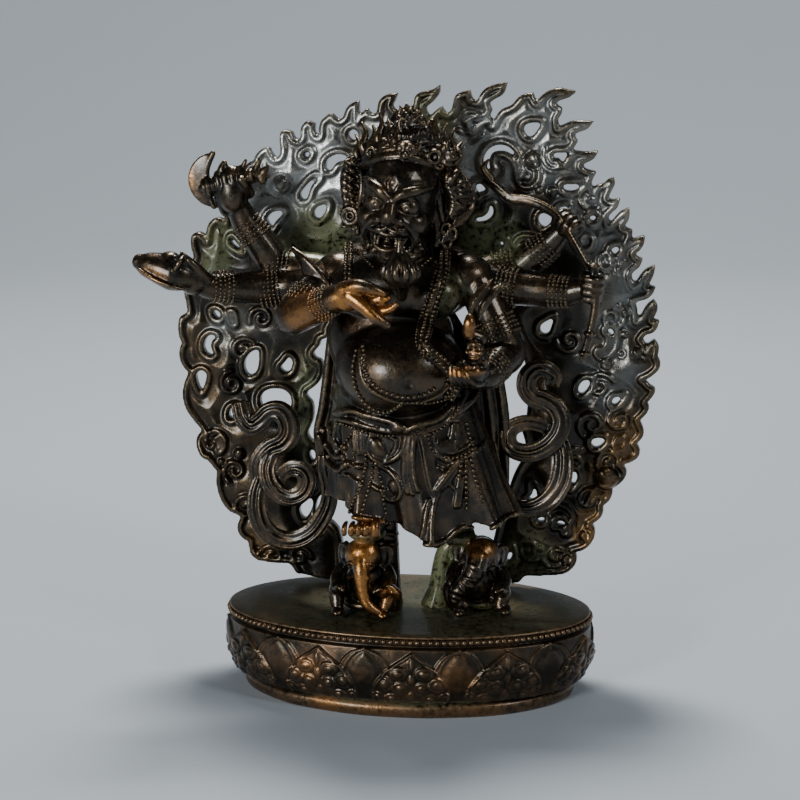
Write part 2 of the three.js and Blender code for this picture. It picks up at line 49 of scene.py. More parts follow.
plinth_half = (58.2, 33.0)
plinth_top = 26.8
petal_count = 10
aureole_front = 20.7
aureole_back = 24.7
# The plate's patches are weathered from here, and reach no further than its front.
patch_at = 19
patch_deep = 4.5

# The most triangles of each fused piece, and of a skin before its dents are pressed in.
most_triangles = {
    "aureole": 185000, "head": 150000, "body": 150000, "feet": 85000, "arms": 125000, "scarves": 90000,
}
before_dents = 400000
any_number = 10**7

# The camera, fitted to the plinth's two rims: its turn and rise, its distance, and its lens.
camera_turn = radians(8.0)
camera_rise = radians(11.3)
camera_distance = 620.0
camera_focal = 1971.0
camera_target = Vector((0, 0, 100))
picture_middle = (408.6, 380.8)
picture_size = 800

view_back = Vector(
    (
        sin(camera_turn) * cos(camera_rise),
        -cos(camera_turn) * cos(camera_rise),
        sin(camera_rise),
    )
)
view_right = Vector((cos(camera_turn), sin(camera_turn), 0))
view_up = view_back.cross(view_right)
eye = camera_target + view_back * camera_distance

random.seed(7)


def sight(px, py):
    """The line of sight of a place in the 800 by 800 picture."""
    x = (px - picture_middle[0]) / camera_focal
    y = (picture_middle[1] - py) / camera_focal
    return (view_right * x + view_up * y - view_back).normalized()


def seen(px, py, y, lift=LIFT):
    """The place at a depth y that the picture shows there, above the lift."""
    way = sight(px, py)
    return np.array(eye + way * ((y - eye.y) / way.y)) - (0, 0, lift)


def drawn(*marks):
    """The places that marks in the picture show, each with its depth."""
    return [seen(*mark) for mark in marks]


def turned(angle, axis, size=3):
    return Matrix.Rotation(radians(angle), size, axis)


# Shapes

def ball_mesh(detail):
    """A ball of radius 1, kept to be copied."""
    bm = bmesh.new()
    bmesh.ops.create_icosphere(bm, subdivisions=detail, radius=1)
    return kept(bm)


def bar_mesh(sides, rows):
    """A ball of radius 1 in rings from pole to pole, which is drawn out to make a bar."""
    bm = bmesh.new()
    bmesh.ops.create_uvsphere(bm, u_segments=sides, v_segments=rows, radius=1)
    return kept(bm)


def kept(bm):
    mesh = bpy.data.meshes.new("kept")
    bm.to_mesh(mesh)
    bm.free()
    return mesh


def link(piece):
    bpy.context.scene.collection.objects.link(piece)


cores = {}


def core(kind, *size):
    """A kept mesh and its vertices' places."""
    key = (kind.__name__, *size)
    if key not in cores:
        mesh = kind(*size)
        cores[key] = (mesh, places(mesh))
    return cores[key]


def places(mesh):
    co = np.empty(len(mesh.vertices) * 3)
    mesh.vertices.foreach_get("co", co)
    return co.reshape(-1, 3)


def move(mesh, co):
    mesh.vertices.foreach_set("co", np.ascontiguousarray(co, np.float32).ravel())
    mesh.update()


def lay(clay, mesh, co):
    """Adds a copy of a kept mesh to the clay, with its vertices moved."""
    move(mesh, co)
    clay.from_mesh(mesh, face_normals=False, vertex_normals=False)


def ball(clay, place, radii, turn=None, detail=3):
    mesh, co = core(ball_mesh, detail)
    radii = (radii,) * 3 if isinstance(radii, (int, float)) else radii
    co = co * np.array(radii)
    if turn is not None:
        co = co @ np.array(turn.to_3x3()).T
    lay(clay, mesh, co + np.array(place))


def dot(clay, place, radii):
    """A small ball."""
    ball(clay, place, radii, None, 2)


def smooth(points, count=None, gap=None):
    """Places evenly spaced along a smooth curve through points, and where on the list each is."""
    pts = np.array([tuple(p) for p in points], float)
    ends = np.vstack([2 * pts[0] - pts[1], pts, 2 * pts[-1] - pts[-2]])
    t = np.linspace(0, 1, 12, endpoint=False)[:, None]
    rows = []
    for i in range(len(pts) - 1):
        a, b, c, d = ends[i : i + 4]
        rows.append(
            0.5
            * (
                2 * b
                + (c - a) * t
                + (2 * a - 5 * b + 4 * c - d) * t**2
                + (3 * b - a - 3 * c + d) * t**3
            )
        )
    line = np.vstack([*rows, pts[-1:]])
    index = np.append(np.arange(len(line) - 1) / 12, len(pts) - 1)
    length = np.concatenate([[0], np.cumsum(np.linalg.norm(np.diff(line, axis=0), axis=1))])
    if count is None:
        count = max(3, int(length[-1] / gap) + 1)
    at = np.linspace(0, length[-1], count)
    return (
        np.stack([np.interp(at, length, line[:, k]) for k in range(pts.shape[1])], 1),
        np.interp(at, length, index),
    )


def unit(v):
    return v / np.maximum(np.linalg.norm(v, axis=-1, keepdims=True), 1e-9)


def frames(line, face):
    """Along, across and outward directions on a line. With no face they turn as little as they can."""
    tangent = unit(np.gradient(line, axis=0))
    if face is not None:
        face = np.broadcast_to(np.array(face, float), line.shape)
        out = unit(face - tangent * np.sum(face * tangent, 1, keepdims=True))
        return tangent, np.cross(tangent, out), out
    start = np.array([0.0, -1.0, 0.3])
    out = []
    for t in tangent:
        start = unit(start - t * np.dot(start, t))
        out.append(start)
    out = np.array(out)
    return tangent, np.cross(tangent, out), out


def bar(clay, points, radii, flat=1.0, face=None, sides=12, step=0.9, section=None, cap=1.0):
    """A closed bar with rounded ends along a smooth path.

    flat is its thickness over its width, section its shape across, and cap how far its ends are rounded.
    """
    if len(points) > 2:
        line, index = smooth(points, gap=step)
    else:
        span = np.linalg.norm(np.subtract(points[0], points[1]))
        line, index = smooth(points, count=max(3, int(span / step) + 1))
    radii = np.broadcast_to(radii, (len(points),)) if np.ndim(radii) == 0 else np.array(radii, float)
    radius = np.interp(index, np.linspace(0, len(points) - 1, len(radii)), radii)
    tangent, across, out = frames(line, face)
    rounds = 3
    rows = len(line) - 1 + 2 * rounds
    mesh, co = core(bar_mesh, sides, rows)
    row = np.rint(np.arccos(np.clip(-co[:, 2], -1, 1)) / pi * rows).astype(int)
    angle = np.arctan2(co[:, 1], co[:, 0])
    at = np.clip(row - rounds, 0, len(line) - 1)
    lead = np.clip(rounds - row, 0, rounds) - np.clip(row - rows + rounds, 0, rounds)
    share = np.cos(np.abs(lead) / rounds * pi / 2)
    push = np.sin(lead / rounds * pi / 2) * cap * min(flat, 1)
    a, o = np.cos(angle), np.sin(angle) * flat
    if section is not None:
        a, o = section(angle, at / len(line))
    r = radius[at]
    done = (
        line[at]
        - tangent[at] * (push * r)[:, None]
        + across[at] * (a * r * share)[:, None]
        + out[at] * (o * r * share)[:, None]
    )
    lay(clay, mesh, done)


def wire(clay, points, radii, flat=1.0):
    """A thin bar."""
    bar(clay, points, radii, flat, None, 8)


def shown(name, mesh, material, node=None):
    """Puts a finished mesh in the scene, in metres."""
    mesh.transform(Matrix.Scale(MM, 4))
    mesh.name = name
    mesh.materials.clear()
    mesh.materials.append(material)
    mesh.shade_smooth()
    piece = bpy.data.objects.new(name, mesh)
    link(piece)
    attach(piece, "root")
    if node:
        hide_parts(node)
    return piece


def triangles(mesh):
    return sum(len(p.vertices) - 2 for p in mesh.polygons)


def baked(mesh, *modifiers):
    """The mesh with modifiers applied, each a kind and its settings."""
    holder = bpy.data.objects.new("holder", mesh)
    link(holder)
    for kind, settings in modifiers:
        one = holder.modifiers.new(kind.lower(), kind)
        for key, value in settings.items():
            setattr(one, key, value)
    graph = bpy.context.evaluated_depsgraph_get()
    made = bpy.data.meshes.new_from_object(holder.evaluated_get(graph))
    bpy.data.objects.remove(holder)
    bpy.data.meshes.remove(mesh)
    return made


def fused(clay, voxel, rounds, most):
    """The clay made one skin, softened, and thinned to at most so many triangles."""
    made = baked(
        kept(clay),
        ("REMESH", {"mode": "VOXEL", "voxel_size": voxel}),
        ("SMOOTH", {"factor": 0.5, "iterations": rounds}),
    )
    return thinned(made, most)


def thinned(mesh, most):
    """The mesh with at most so many triangles."""
    count = triangles(mesh)
    return baked(mesh, ("DECIMATE", {"ratio": most / count})) if count > most else mesh


# Weathering

def edge_ends(mesh):
    ends = np.empty(len(mesh.edges) * 2, np.int32)
    mesh.edges.foreach_get("vertices", ends)
    return ends.reshape(-1, 2).T


def normals(mesh):
    out = np.empty(len(mesh.vertices) * 3, np.float32)
    mesh.vertex_normals.foreach_get("vector", out)
    return out.reshape(-1, 3).astype(float)


def spread(values, ends, rounds):
    """Values evened out between neighbours."""
    a, b = ends
    count = np.bincount(a, minlength=len(values)) + np.bincount(b, minlength=len(values)) + 1
    for _ in range(rounds):
        total = np.bincount(a, values[b], len(values)) + np.bincount(b, values[a], len(values))
        values = (total + values) / count
    return values


def weather(mesh, rubbed=(), green=(), painted_sheen=()):
    """Notes how far each vertex stands out, for worn edges, or lies deep, for painted shade in the recesses,
    and where it is rubbed, green or given a painted silvery sheen.
    """
    co = places(mesh)
    n = normals(mesh)
    ends = edge_ends(mesh)
    a, b = ends
    step = co[b] - co[a]
    length = np.maximum(np.linalg.norm(step, axis=1), 1e-6)
    bend_a = -np.sum(n[a] * step, 1) / length
    bend_b = np.sum(n[b] * step, 1) / length
    count = np.bincount(a, minlength=len(co)) + np.bincount(b, minlength=len(co))
    bend = (np.bincount(a, bend_a, len(co)) + np.bincount(b, bend_b, len(co))) / np.maximum(count, 1)
    near = spread(bend, ends, 2)
    wide = spread(bend, ends, 9)
    note(mesh, "edge", np.clip(near * 3.4 + wide * 3.2 - 0.04, 0, 1))
    # How deep each vertex lies, which the bronze paints as shade.
    note(mesh, "recess_shade", np.clip(-near * 4 - wide * 6, 0, 1))
    note(mesh, "rubbed", patches(co, rubbed))
    note(mesh, "green", patches(co, green))
    # Where the bronze paints a silvery sheen in place of a reflection.
    note(mesh, "painted_sheen", patches(co, painted_sheen))


def patches(co, spots):
    """How strongly soft round patches cover each place: each a middle, a radius and a strength."""
    cover = np.zeros(len(co))
    for middle, radius, strength in spots:
        far = np.linalg.norm((co - np.array(middle)) / np.array(radius), axis=1)
        soft = np.clip((1.15 - far) / 0.5, 0, 1)
        cover = np.maximum(cover, soft * soft * (3 - 2 * soft) * strength)
    return cover


def note(mesh, name, values):
    layer = mesh.attributes.get(name) or mesh.attributes.new(name, "FLOAT", "POINT")
    layer.data.foreach_set("value", np.ascontiguousarray(values, np.float32))


def noted(mesh, name):
    values = np.empty(len(mesh.vertices), np.float32)
    mesh.attributes[name].data.foreach_get("value", values)
    return values


def note_on(mesh, name, where, least):
    """Raises a note to at least so much on some vertices."""
    values = noted(mesh, name)
    note(mesh, name, np.where(where, np.maximum(values, least), values))


def note_all(mesh, name, value):
    note(mesh, name, np.full(len(mesh.vertices), value))


# Materials

def linear(colour):
    """An sRGB hex colour as linear values."""
    values = [int(colour[i : i + 2], 16) / 255 for i in (1, 3, 5)]
    return tuple(v / 12.92 if v <= 0.04045 else ((v + 0.055) / 1.055) ** 2.4 for v in values) + (1,)


def add(tree, kind, links=None, **settings):
    """A node with its settings, and a value or another node's output in each named input."""
    node = tree.nodes.new(kind)
    for key, value in settings.items():
        setattr(node, key, value)
    for key, value in (links or {}).items():
        if isinstance(value, bpy.types.NodeSocket):
            tree.links.new(value, node.inputs[key])
        else:
            node.inputs[key].default_value = value
    return node


def new_material(name):
    material = bpy.data.materials.new(name)
    material.use_nodes = True
    material.node_tree.nodes.clear()
    return material


def cast_bronze(name, dark, brown, worn, copper, verdigris, gloss, wax):
    """Lost-wax cast bronze, chemically browned and waxed: brown-black and glossy, brown where it is
    handled, bare copper-orange where it is rubbed, and olive green in the recesses. Its recesses
    also get painted shade, and some patches a painted silvery sheen."""
    material = new_material(name)
    tree = material.node_tree
    place = add(tree, "ShaderNodeTexCoord").outputs["Object"]
    # Patina clouds of about 9 mm, mottling of 1.5 mm, and the casting's grain of 0.35 mm.
    clouds, mottle, grain = (
        add(tree, "ShaderNodeTexNoise", {"Vector": place, **look}).outputs["Fac"]
        for look in (
            {"Scale": 110, "Detail": 4, "Roughness": 0.6},
            {"Scale": 650, "Detail": 3, "Roughness": 0.65},
            {"Scale": 2800, "Detail": 2},
        )
    )
    edge, recess_shade, rubbed, green, painted_sheen = (
        add(tree, "ShaderNodeAttribute", attribute_name=kind).outputs["Fac"]
        for kind in ("edge", "recess_shade", "rubbed", "green", "painted_sheen")
    )

    def ranged(value, low, high, to_low=0.0, to_high=1.0):
        return add(
            tree,
            "ShaderNodeMapRange",
            {"Value": value, "From Min": low, "From Max": high, "To Min": to_low, "To Max": to_high},
            interpolation_type="SMOOTHSTEP",
        ).outputs["Result"]

    def times(a, b, operation="MULTIPLY"):
        return add(tree, "ShaderNodeMath", {0: a, 1: b}, operation=operation, use_clamp=True).outputs[0]

    def mixed(factor, a, b):
        return add(tree, "ShaderNodeMix", {0: factor, 6: a, 7: b}, data_type="RGBA").outputs[2]

    colour = mixed(ranged(clouds, 0.4, 0.66), linear(dark), linear(brown))
    # Painted sheen: patches mixed towards silvery grey, standing in for the reflection of a bright window.
    colour = mixed(times(painted_sheen, ranged(clouds, 0.68, 0.4, 0.35, 1.0)), colour, linear("#a6a7a3"))
    colour = mixed(times(edge, ranged(mottle, 0.3, 0.62, 0.15, 0.8)), colour, linear(worn))
    # Painted shade: the recesses are darkened towards near-black, standing in for the shade that falls in
    # them.
    deep = times(recess_shade, ranged(mottle, 0.36, 0.6, 0.35, 1.0))
    colour = mixed(times(deep, 0.62), colour, linear("#12110d"))
    moss = times(green, ranged(mottle, 0.32, 0.56))
    colour = mixed(times(moss, 0.9), colour, linear(verdigris))
    bare = times(times(rubbed, ranged(mottle, 0.28, 0.55, 0.55, 1.0)), ranged(clouds, 0.34, 0.56, 0.6, 1.0))
    colour = mixed(times(bare, times(1.0, times(recess_shade, 0.8), "SUBTRACT")), colour, linear(copper))

    rough = ranged(mottle, 0.3, 0.7, gloss - 0.07, gloss + 0.1)
    rough = times(rough, times(recess_shade, 0.2), "ADD")
    rough = times(rough, times(moss, 0.3), "ADD")
    metal = times(0.92, times(moss, 0.75), "SUBTRACT")
    pits = {"Height": grain, "Strength": 0.22, "Distance": 0.00025}
    pits = add(tree, "ShaderNodeBump", pits).outputs["Normal"]
    skin = {"Height": mottle, "Strength": 0.3, "Distance": 0.0005, "Normal": pits}
    skin = add(tree, "ShaderNodeBump", skin).outputs["Normal"]
    shader = add(
        tree,
        "ShaderNodeBsdfPrincipled",
        {
            "Base Color": colour,
            "Metallic": metal,
            "Roughness": rough,
            "Normal": skin,
            # The wax over the patina.
            "Coat Weight": wax,
            "Coat Roughness": 0.21,
        },
    )
    add(tree, "ShaderNodeOutputMaterial", {"Surface": shader.outputs["BSDF"]})
    return material


plinth_bronze = cast_bronze(
    "reddish cast bronze", "#2a2419", "#58432f", "#97795a", "#94663a", "#5c6142", 0.34, 0.3,
)
figure_bronze = cast_bronze(
    "brown-black waxed cast bronze", "#1f1b15", "#463727", "#7c684a", "#a06b30", "#61673b", 0.28, 0.5,
)
aureole_bronze = cast_bronze(
    "grey-brown cast bronze", "#1a1812", "#3c3222", "#8c7f68", "#8c683a", "#666a44", 0.3, 0.4,
)
# Matt painted board, pale grey-blue: no gloss, so nothing mirrors in it.
pale_board = new_material("matt pale grey-blue board")
board_shader = add(
    pale_board.node_tree,
    "ShaderNodeBsdfPrincipled",
    {"Base Color": linear("#b4bcc4"), "Roughness": 0.9, "Specular IOR Level": 0.2},
)
add(pale_board.node_tree, "ShaderNodeOutputMaterial", {"Surface": board_shader.outputs["BSDF"]})


# The aureole

def bump(distance, middle, width):
    return np.exp(-(((distance - middle) / width) ** 2))


def ramp(value, low, high):
    t = np.clip((value - low) / (high - low), 0, 1)
    return t * t * (3 - 2 * t)


def flowing(points, closed=False, gap=0.5):
    """A line that is smooth between the points marked as corners with a third value."""
    corners = [i for i, p in enumerate(points) if len(p) > 2]
    if closed:
        doubled = [*points, *points, *points]
        line, index = smooth([p[:2] for p in doubled], gap=gap)
        n = len(points)
        return line[(index >= n) & (index < 2 * n)]
    stops = sorted({0, *corners, len(points) - 1})
    rows = []
    for first, last in zip(stops, stops[1:]):
        part = [p[:2] for p in points[first : last + 1]]
        if len(part) == 2:
            rows.append(np.array(part[:1], float))
        else:
            rows.append(smooth(part, gap=gap)[0][:-1])
    rows.append(np.array([points[-1][:2]], float))
    return np.vstack(rows)


# The flames' edge from the left foot over the top to the right foot, across and up in
# millimetres; a third value marks the tip of a flame or the notch between two.
flame_edge = [
    (-40.6, 2.4), (-43, 5.5), (-47.1, 5.6), (-51.5, 6), (-53.9, 6.4), (-55.9, 8.1), (-56.5, 10.1),
    (-56.7, 12.6, 1), (-58.5, 13.5), (-60.2, 15.5), (-60.4, 17.6), (-59.6, 19.7), (-59.1, 21.1, 1),
    (-60.5, 21.8), (-63.2, 23), (-65.2, 25.4), (-66.5, 28.4), (-67.1, 31.8), (-67, 34.9),
    (-66.8, 36.7, 1), (-67.7, 37.7), (-69.3, 39.7), (-70, 40.5, 1), (-72, 41.3), (-73.3, 43.3),
    (-73.9, 45.3), (-73.8, 47), (-72.9, 48.6), (-71.7, 49.6, 1), (-72.8, 51.1), (-74.8, 53.5),
    (-76.8, 56.5), (-77.9, 59.5), (-78.2, 62.5), (-77.6, 65.6), (-76.7, 67.8), (-76.1, 69.7, 1),
    (-77.7, 71.3), (-78.8, 73.6), (-79, 76), (-78.5, 78), (-77.8, 79.3, 1), (-78.8, 82), (-79, 85.3),
    (-78.5, 87.7), (-77.1, 88.5), (-75.9, 89.6, 1), (-76.3, 93), (-76.9, 96.3), (-76.5, 100.3),
    (-75.7, 104.3), (-73.6, 107.6), (-74.1, 110.3), (-74.4, 113.5), (-73.5, 115.2), (-71.8, 115.5),
    (-70.5, 114.4), (-69.5, 113.4, 1), (-69.1, 116.2), (-68.4, 118.5), (-67, 120), (-65.4, 120.5),
    (-64.1, 119.9), (-63.1, 119.3, 1), (-62.7, 122.9), (-61.9, 126.8), (-60.6, 130), (-58.5, 133),
    (-56.9, 133.9, 1), (-56.5, 136.2), (-54.8, 138.5), (-53.2, 138.8, 1), (-52.5, 140.8),
    (-51.1, 142.4), (-49.8, 143.2), (-48.5, 143.4, 1), (-48, 142.1), (-47.2, 140.8), (-46.3, 140.2),
    (-45.1, 140.5), (-44.3, 141.6), (-44.1, 143.4), (-44.4, 146), (-44.2, 148.2), (-43.2, 149),
    (-41.1, 148.5, 1), (-40.8, 147.3), (-39.8, 146.2), (-38.7, 146), (-37.7, 147), (-37.6, 148.6),
    (-37.5, 150.2), (-36.8, 151.1), (-35.7, 151.9), (-33.9, 151.2, 1), (-34, 149.9), (-33.9, 148.6),
    (-33.1, 147.5), (-32.1, 147.2), (-31.6, 148.3), (-31.6, 150.2), (-31.1, 152), (-30.3, 152.9, 1),
    (-29.5, 153.4), (-28.7, 154.2), (-27.6, 154.3, 1), (-26.8, 153.3), (-25.6, 152.6), (-24.3, 152.8),
    (-23.4, 154.1), (-22.8, 155.9), (-21.9, 157.1), (-20.7, 157.9), (-19.4, 158.4, 1), (-19.3, 156.7),
    (-19.5, 154.8), (-19.5, 152.6, 1), (-19, 153.7), (-17.9, 154.6), (-16.3, 156, 1), (-15.8, 155.1),
    (-14.8, 154.5), (-13.5, 154.4), (-12.7, 155.3), (-12.4, 157), (-12, 158.6), (-10.9, 159.9),
    (-9.3, 160.7), (-7, 161, 1), (-7.6, 159.3), (-8.4, 157.9), (-8.1, 156.8), (-6.9, 155.5),
    (-5.3, 153.3, 1), (-4.4, 155.5), (-2.8, 156.8), (-1.2, 157), (-0.8, 158.7), (-0.4, 160.3),
    (0.7, 161.2), (3, 161.9), (4.9, 162.2), (6.6, 163.3, 1), (6.5, 161.9), (5.5, 160.3), (3.9, 158.7),
    (2.4, 157.5), (2.2, 156.4), (2.7, 155), (3.7, 152, 1), (4.4, 154), (5.5, 155.3), (7.4, 156.8, 1),
    (8.1, 155.6), (9.1, 154.8), (10.3, 155.3), (11.2, 156.6), (11.7, 158.5), (12.1, 160.1),
    (13.1, 161.1), (16.2, 162.2, 1), (16.7, 160.3), (17.8, 158.9), (19.2, 159), (20.2, 161),
    (21.7, 162.7), (24.1, 163.8), (27.8, 164.6, 1), (26.7, 161.7), (24.1, 160.1), (22.3, 158.6),
    (23.1, 156.4, 1), (21.9, 154.4), (18.8, 153.5), (16.6, 152.5), (17.4, 149.5, 1), (18.8, 151.7),
    (21.3, 153), (23, 153.5, 1), (23.6, 151.4, 1), (26.4, 155.8), (29.9, 157.6), (32.9, 160.6),
    (36.2, 161.4, 1), (36.8, 159.7), (37.7, 158.7), (39.5, 160.7), (41.7, 162.2), (44.3, 163),
    (47, 162.5), (49.1, 162.1, 1), (47.4, 160.8), (44.4, 159.8), (43, 158.5), (45.2, 157, 1),
    (45, 155.5), (44, 153.7), (44.3, 150.8, 1), (46.3, 151.6), (48.5, 152.6), (51.1, 152.9),
    (54.7, 152.7, 1), (53.3, 151), (50.3, 149.9), (49.2, 148.8), (50.2, 146.8, 1), (48.6, 144.5),
    (46.4, 143.7), (43.7, 143.6), (42.3, 142.5, 1), (43.1, 141), (44.7, 141), (45.6, 139.7),
    (46.7, 140.1), (47.7, 141.9), (49.9, 143.4), (53, 143.1), (56.5, 143.4, 1), (55.4, 141.6),
    (52.6, 140.2), (52, 138.9), (53.5, 137.7), (56.1, 137, 1), (54.9, 134.5), (54.7, 132.8),
    (55.6, 130.9, 1), (56.9, 132.6), (59.3, 133.3), (60.6, 134.6), (61.8, 135.1, 1), (62, 133.3),
    (60.7, 130.6), (60.1, 129.1), (61.2, 128.1), (63.8, 128.5, 1), (63.1, 126.4), (61.5, 124.8),
    (60.3, 123.2), (60.5, 120.8, 1), (61.9, 121.3), (63.5, 123.2), (65, 124.7), (66.8, 125.5, 1),
    (66.9, 123.9), (66.5, 122), (65.1, 119.8), (67.9, 118.8, 1), (67.8, 117.3), (66.9, 114.6, 1),
    (68, 115.1), (69.6, 116.1), (71.9, 116.9, 1), (71.6, 114.8), (70.6, 113.1), (69, 111.6),
    (70, 110.2), (71.3, 109.7, 1), (70.4, 107.6), (68.5, 105.9), (68, 104.2), (69.1, 101.5, 1),
    (70.2, 102.4), (71.4, 104.3), (72.9, 106.1), (75.3, 107.4, 1), (75, 105.3), (74.1, 103.1),
    (73.2, 101.2), (75.5, 100.8, 1), (74.8, 99.1), (73.1, 97.6), (70.6, 96.8), (69.2, 96.1, 1),
    (69.9, 94), (70.1, 91.8), (70.3, 90, 1), (71.9, 91.5), (73.2, 94.1), (74.3, 95.6), (75.5, 96.5, 1),
    (76.4, 95), (76.2, 93.2), (75, 90.4), (77, 90, 1), (76.5, 88.1), (75.3, 86.7), (73.1, 85.9),
    (71.7, 84.1, 1), (72.7, 82.9), (73.6, 80.6, 1), (74.1, 81.9), (74.9, 82.8), (76, 83.6, 1),
    (77, 82.2), (77.1, 80.3), (76.8, 78.7), (77.6, 77.1), (77.5, 75.1), (76.2, 73.5), (74.4, 72.1),
    (72.5, 71.1, 1), (73.8, 70.1), (74.9, 68.9), (76.3, 68.1), (75.9, 66.4), (74.6, 64.6),
    (73.7, 63.4, 1), (74.5, 62.1), (73.9, 60.3), (72.5, 58.6), (71.5, 57.6, 1), (72.3, 56), (73, 53.7),
    (72.6, 52.1), (71.5, 50.7), (70.6, 49.8, 1), (71.8, 47.7), (71.5, 45.7), (69.6, 44.2),
    (67.7, 43.6), (66.1, 43.1, 1), (67.7, 40.8), (67.3, 38.6), (65.6, 36.5), (63.3, 35), (60.8, 34.4),
    (58.8, 34.4), (56.5, 30, 1), (57.9, 31.9), (59.8, 33), (63.2, 34.6, 1), (63.3, 32.8), (62.3, 30.7),
    (60.3, 29, 1), (60.5, 27.3), (60, 25.5), (58.7, 24.2), (56.8, 23, 1), (57.9, 20.8), (57.8, 18.5),
    (56.6, 16.2), (54.6, 14.3), (51.4, 13.1, 1), (52.2, 11.1), (51.8, 9.1), (50.5, 7.3), (48.6, 6),
    (46, 5.4), (40.7, 4.9), (35.8, 4.6), (33.7, 2.5, 1),
]
# The opening behind the figure, from its right foot over the top to its left foot.
opening_edge = [
    (25, 0, 1), (25.6, 5), (25, 12), (27, 22), (29.5, 31, 1), (30.8, 34.3), (31.8, 37.4), (33.7, 41.5),
    (36.4, 45, 1), (35.6, 50), (34.4, 54, 1), (36, 58), (36.4, 64, 1), (35.4, 68), (35.6, 74, 1), (34, 80),
    (31.4, 85, 1), (28, 89), (25, 93.4, 1), (20, 97.4), (14, 100.8, 1), (7, 102.6), (0, 102.4, 1),
    (-7, 102), (-13, 100, 1), (-19, 97), (-23.6, 93.4, 1), (-27, 89.6), (-29.4, 85.4, 1), (-29.8, 82.9),
    (-32.1, 81.8), (-32.8, 79.8), (-34.3, 78.1), (-35, 76.8), (-34.1, 75), (-32.5, 74.5), (-31.7, 72.9),
    (-31.9, 70.2), (-33.2, 67.5), (-35.2, 65.6), (-36.9, 64.4), (-37.4, 62.7), (-36.6, 61.4), (-35.6, 60.5),
    (-35, 58.7), (-35, 55.4), (-35.9, 53), (-36.9, 50.6), (-36.7, 48.9), (-35.9, 47.4, 1), (-34, 46.4),
    (-33, 44), (-33, 40.5, 1), (-31, 36), (-31.6, 31), (-33.6, 28.4), (-34.6, 25.4), (-34.4, 22.4),
    (-32, 20.9), (-29.3, 20.2), (-27.3, 18.5), (-26.3, 16.5), (-25.6, 12.4), (-25.3, 3.1), (-25.3, 0, 1),
]
